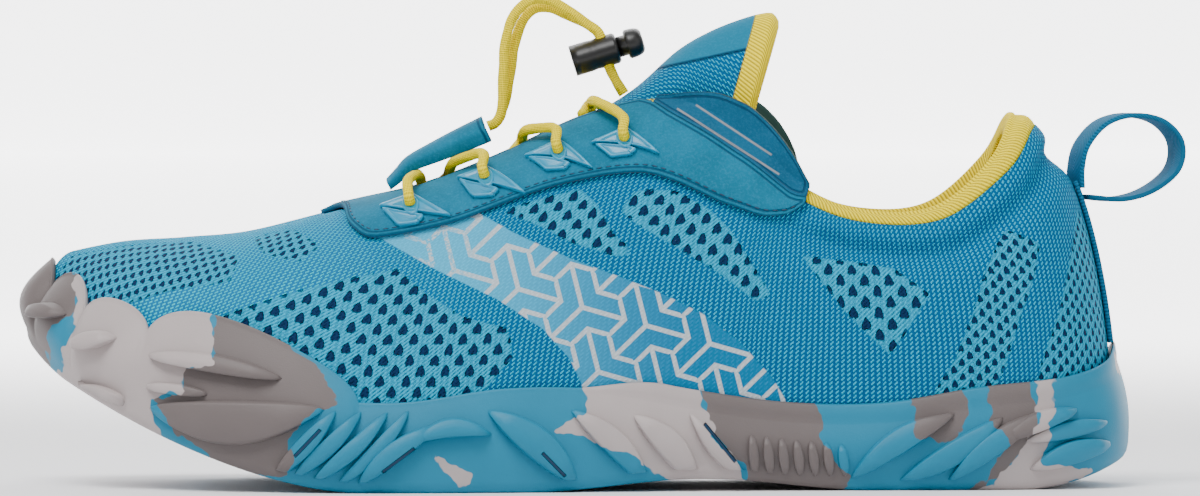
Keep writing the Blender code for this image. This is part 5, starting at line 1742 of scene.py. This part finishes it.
class PlatesOperator(bpy.types.Operator):
    """The moulded plates around the eyelets."""

    bl_idname = "shoe.plates"
    bl_label = "Eyelet plates"

    def execute(self, context):
        finish = plain_finish("plate_gloss", colours().plate, 0.30, 0.00003)
        for index, (number, share) in enumerate(EYELETS, 1):
            for name, sign in SIDES:
                bm = bmesh.new()
                for corners in (PLATE_PEAK, PLATE_FOOT):
                    self.add_pad(bm, number * sign % TURN, share, corners)
                bmesh.ops.recalc_face_normals(bm, faces=bm.faces)
                add_piece("plate_%s_%d" % (name, index), bm, [finish],
                          ["eyelet_plate_%s_%d" % (name, index)], "plate_blue")
                bm = bmesh.new()
                self.add_hole(bm, number * sign % TURN, share)
                add_piece("eyelet_%s_%d" % (name, index), bm, [finish], slot="plate_blue",
                          closed=True)
        return {"FINISHED"}

    def add_pad(self, bm, place, share, corners):
        """A pad with a raised border around a sunk field."""
        corners = np.array(corners)
        middle = corners.mean(axis=0)
        outline = []
        turn, run = np.linspace(0, 1, 5)[:, None], np.linspace(0.1, 0.9, 6)[:, None]
        for before, here, after in zip(np.roll(corners, 1, 0), corners, np.roll(corners, -1, 0)):
            start, end = (lerp(here, other, min(0.45, PAD_ROUND / np.linalg.norm(other - here)))
                          for other in (before, after))
            outline.append(bow(start, here, end, turn))
            outline.append(lerp(end, after + (here - after) * 0.12, run))
        outline = around(np.vstack(outline)[None])[0] - middle
        seat, top = SEAT + SUEDE - PAD_SINK, PLATE_SEAT + PLATE_THICK + PAD_SINK
        rings = ((0.0, 0), (1.0, 0), (1.0, top * 0.8), (0.96, top * 0.95), (0.90, top),
                 (0.74, top), (0.69, top * 0.80), (0.62, top * 0.74), (0.3, top * 0.74),
                 (0.0, top * 0.74))
        rows = []
        for size, height in rings:
            spot = (middle + outline * size) * (1.0, PLATE_SQUASH)
            rows.append(lifted(*beside(place, share, spot[:, 0], spot[:, 1]), seat + height))
        add_grid(bm, np.array(rows))

    def add_hole(self, bm, place, share):
        """A raised collar around the hole that the lace comes out of."""
        seat, top = SEAT + SUEDE, PLATE_SEAT + PLATE_THICK
        angle = np.linspace(0, math.tau, 33)
        rows = []
        for radius, height in ((0, 0), (0.0020, 0), (0.0020, top), (0.0018, top + 0.0002),
                               (0.0016, top + 0.0002), (0.0015, top), (0, top - 0.0002)):
            rows.append(lifted(*beside(place, share, radius * np.cos(angle),
                                       radius * np.sin(angle)), seat + height))
        add_grid(bm, np.array(rows))


class TongueOperator(bpy.types.Operator):
    """The padded tongue with its yellow rolled edge."""

    bl_idname = "shoe.tongue"
    bl_label = "Tongue"

    def execute(self, context):
        top = surface_through([tongue_section(row, 0.0) for row in TONGUE], 7)
        under = surface_through(
            [tongue_section(row, row.thick * TONGUE_THICK) for row in TONGUE], 7)
        middle = (top + under) / 2
        for index, share in enumerate(TIP_ROUND, -len(TIP_ROUND)):
            top[index] = lerp(middle[index], top[index], share)
            under[index] = lerp(middle[index], under[index], share)
        loop = np.concatenate([top, under[:, ::-1]], axis=1)
        closing = np.concatenate([middle, middle[:, ::-1]], axis=1)
        points = around(np.concatenate([closing[:1], loop, closing[-1:]]))
        run = np.linalg.norm(np.diff(loop, axis=0), axis=-1)
        away = np.vstack([np.cumsum(run[::-1], axis=0)[::-1], np.zeros(len(loop[0]))])
        away[:, top.shape[1]:] = 0
        away = around(np.concatenate([away[:1], away, away[-1:]]))
        uv = surface_uv(points.transpose(1, 0, 2), 3).transpose(1, 0, 2)[..., ::-1]
        piece = add_sheet("tongue_padded", points, [tongue_finish()], ["tongue"], "tongue_knit",
                          uv, {"from_tip": away}, closed=True)
        return {"FINISHED"}


class LacingOperator(bpy.types.Operator):
    """The lace over the throat: one straight bar and three crossings."""

    bl_idname = "shoe.lacing"
    bl_label = "Lacing"

    def execute(self, context):
        finish = lace_finish()
        braid = {"turns": 28, "braid": sizes().braid * 4, "relief": BRAID_RELIEF}
        start, end = eyelet_end(0, 1), eyelet_end(0, -1)
        x = start[0][0] + BAR_SHIFT
        bar = [*start, over_edge(x, 1), on_tongue(x, 0), over_edge(x, -1), *end[::-1]]
        add_tube("lace_bar_braid", curve_through(bar, 12), BRAID_RADIUS, finish, ["lace_bar"],
                 "lace_yellow", **braid)
        for index in range(1, len(EYELETS)):
            bm = bmesh.new()
            for sign in (1, -1):
                start = eyelet_end(index, sign)
                near, far = start[0][0], eyelet_end(index - 1, sign)[0][0]
                strand = [*start, over_edge(lerp(near, far, CROSS_EDGE), sign),
                          on_tongue(lerp(near, far, CROSS_CROWN), 0),
                          on_tongue(lerp(near, far, CROSS_END), -CROSS_REACH * sign)]
                lift = np.array([0, 0, 0, 0, LACE_RADIUS * (1.0 if sign > 0 else 0.0), 0])
                strand = np.array(strand) + lift[:, None] * UP
                add_grid(bm, *tube_grid(curve_through(strand, 12), BRAID_RADIUS, **braid))
            add_piece("lace_cross_%d_braid" % index, bm, [finish], ["lace_cross_%d" % index],
                      "lace_yellow", closed=True)
        return {"FINISHED"}


class KeeperOperator(bpy.types.Operator):
    """The folded suede tab that the lace's loop tucks into."""

    bl_idname = "shoe.keeper"
    bl_label = "Lace keeper"

    def execute(self, context):
        rows = []
        for share, lift, thick in KEEPER:
            x = HEEL_BACK - share * LENGTH
            edges = [skin(throat_place(x, sign), 1.0) for sign in (1, -1)]
            base = (edges[0] + edges[1]) / 2 + UP * lift * KEEPER_THICK
            tall = thick * KEEPER_THICK
            rows.append([base + np.array((back * tall, across * KEEPER_HALF, up * tall))
                         for back, across, up in KEEPER_SECTION])
        points = capped(surface_through(rows, 8))
        run = np.linalg.norm(points - points[-2], axis=-1).min(axis=1)
        away = np.broadcast_to(np.minimum(run, KEEPER_EDGE)[:, None], points.shape[:2])
        bm = bmesh.new()
        add_grid(bm, points, fields={"edge": away})
        bmesh.ops.recalc_face_normals(bm, faces=bm.faces)
        # Faces turned down take the suede's back colour, darkened by painted shade under the keeper
        for face in bm.faces:
            face.material_index = int(face.normal.z < -0.35)
        back = plain_finish("keeper_back_and_shade", colours().suede_back_and_shade, 0.85, 0.0001)
        add_piece("keeper_suede", bm, [suede_finish("keeper_suede", colours().suede), back],
                  ["lace_keeper"], "suede_blue", closed=True)
        return {"FINISHED"}


class HeelTapeOperator(bpy.types.Operator):
    """The woven tape up the back of the heel, with its pull loop."""

    bl_idname = "shoe.heel_tape"
    bl_label = "Heel tape"

    def execute(self, context):
        widest = TAPE_HALF / abs(ribs(1.0).foot[1])
        places = np.linspace(-widest, widest, 13)
        shares = np.linspace(float(rim_share(np.array([0.0]))[0]) + TAPE_FROM, TAPE_END, 40)
        points = lifted(places % TURN, shares[:, None], GAP + TAPE_THICK)
        finish = tape_finish()
        add_sheet("heel_tape_woven", points[:, ::-1], [finish], ["heel_tape"], "webbing_blue",
                  wall=-TAPE_THICK)
        root = lifted(0.0, TAPE_END - 0.03, GAP + TAPE_THICK * 0.45)
        path = curve_through([root + np.array((out * LOOP_OUT, 0, up * LOOP_UP))
                              for out, up in LOOP], 6)
        outs = unit(np.cross(np.gradient(path, axis=0), (0, 1, 0)))
        width = (TAPE_HALF - GAP) * np.array((-math.sin(LOOP_TURN), math.cos(LOOP_TURN), 0))
        loop = np.array([path + width * wide + outs * TAPE_THICK * up
                         for wide, up in LOOP_SECTION]).transpose(1, 0, 2)
        add_sheet("pull_loop_woven", capped(loop), [finish], slot="webbing_blue", closed=True)
        return {"FINISHED"}


OPERATORS = (
    StageOperator, LaceEndsOperator, UpperOperator, LiningOperator, SoleOperator, InsoleOperator,
    StayOperator, WingsOperator, PlatesOperator, TongueOperator, LacingOperator, KeeperOperator,
    HeelTapeOperator,
)


class ShoePanel(bpy.types.Panel):
    """Buttons for the pieces, and their sizes and colours."""

    bl_idname = "SHOE_PT_panel"
    bl_label = "Barefoot shoe"
    bl_space_type = "VIEW_3D"
    bl_region_type = "UI"
    bl_category = "Shoe"

    def draw(self, context):
        for operator in OPERATORS:
            self.layout.operator(operator.bl_idname)
        for group in (context.scene.shoe_sizes, context.scene.shoe_colours,
                      context.scene.shoe_stage):
            box = self.layout.box()
            for name in group.bl_rna.properties.keys():
                if name not in ("rna_type", "name"):
                    box.prop(group, name)


CLASSES = (ShoeColours, ShoeSizes, StageSizes, *OPERATORS, ShoePanel)


def register():
    for one in CLASSES:
        bpy.utils.register_class(one)
    bpy.types.Scene.shoe_colours = PointerProperty(type=ShoeColours)
    bpy.types.Scene.shoe_sizes = PointerProperty(type=ShoeSizes)
    bpy.types.Scene.shoe_stage = PointerProperty(type=StageSizes)


def unregister():
    del bpy.types.Scene.shoe_colours
    del bpy.types.Scene.shoe_sizes
    del bpy.types.Scene.shoe_stage
    for one in reversed(CLASSES):
        bpy.utils.unregister_class(one)


def main():
    register()
    for operator in OPERATORS:
        group, name = operator.bl_idname.split(".")
        getattr(getattr(bpy.ops, group), name)()


if __name__ == "__main__":
    main()
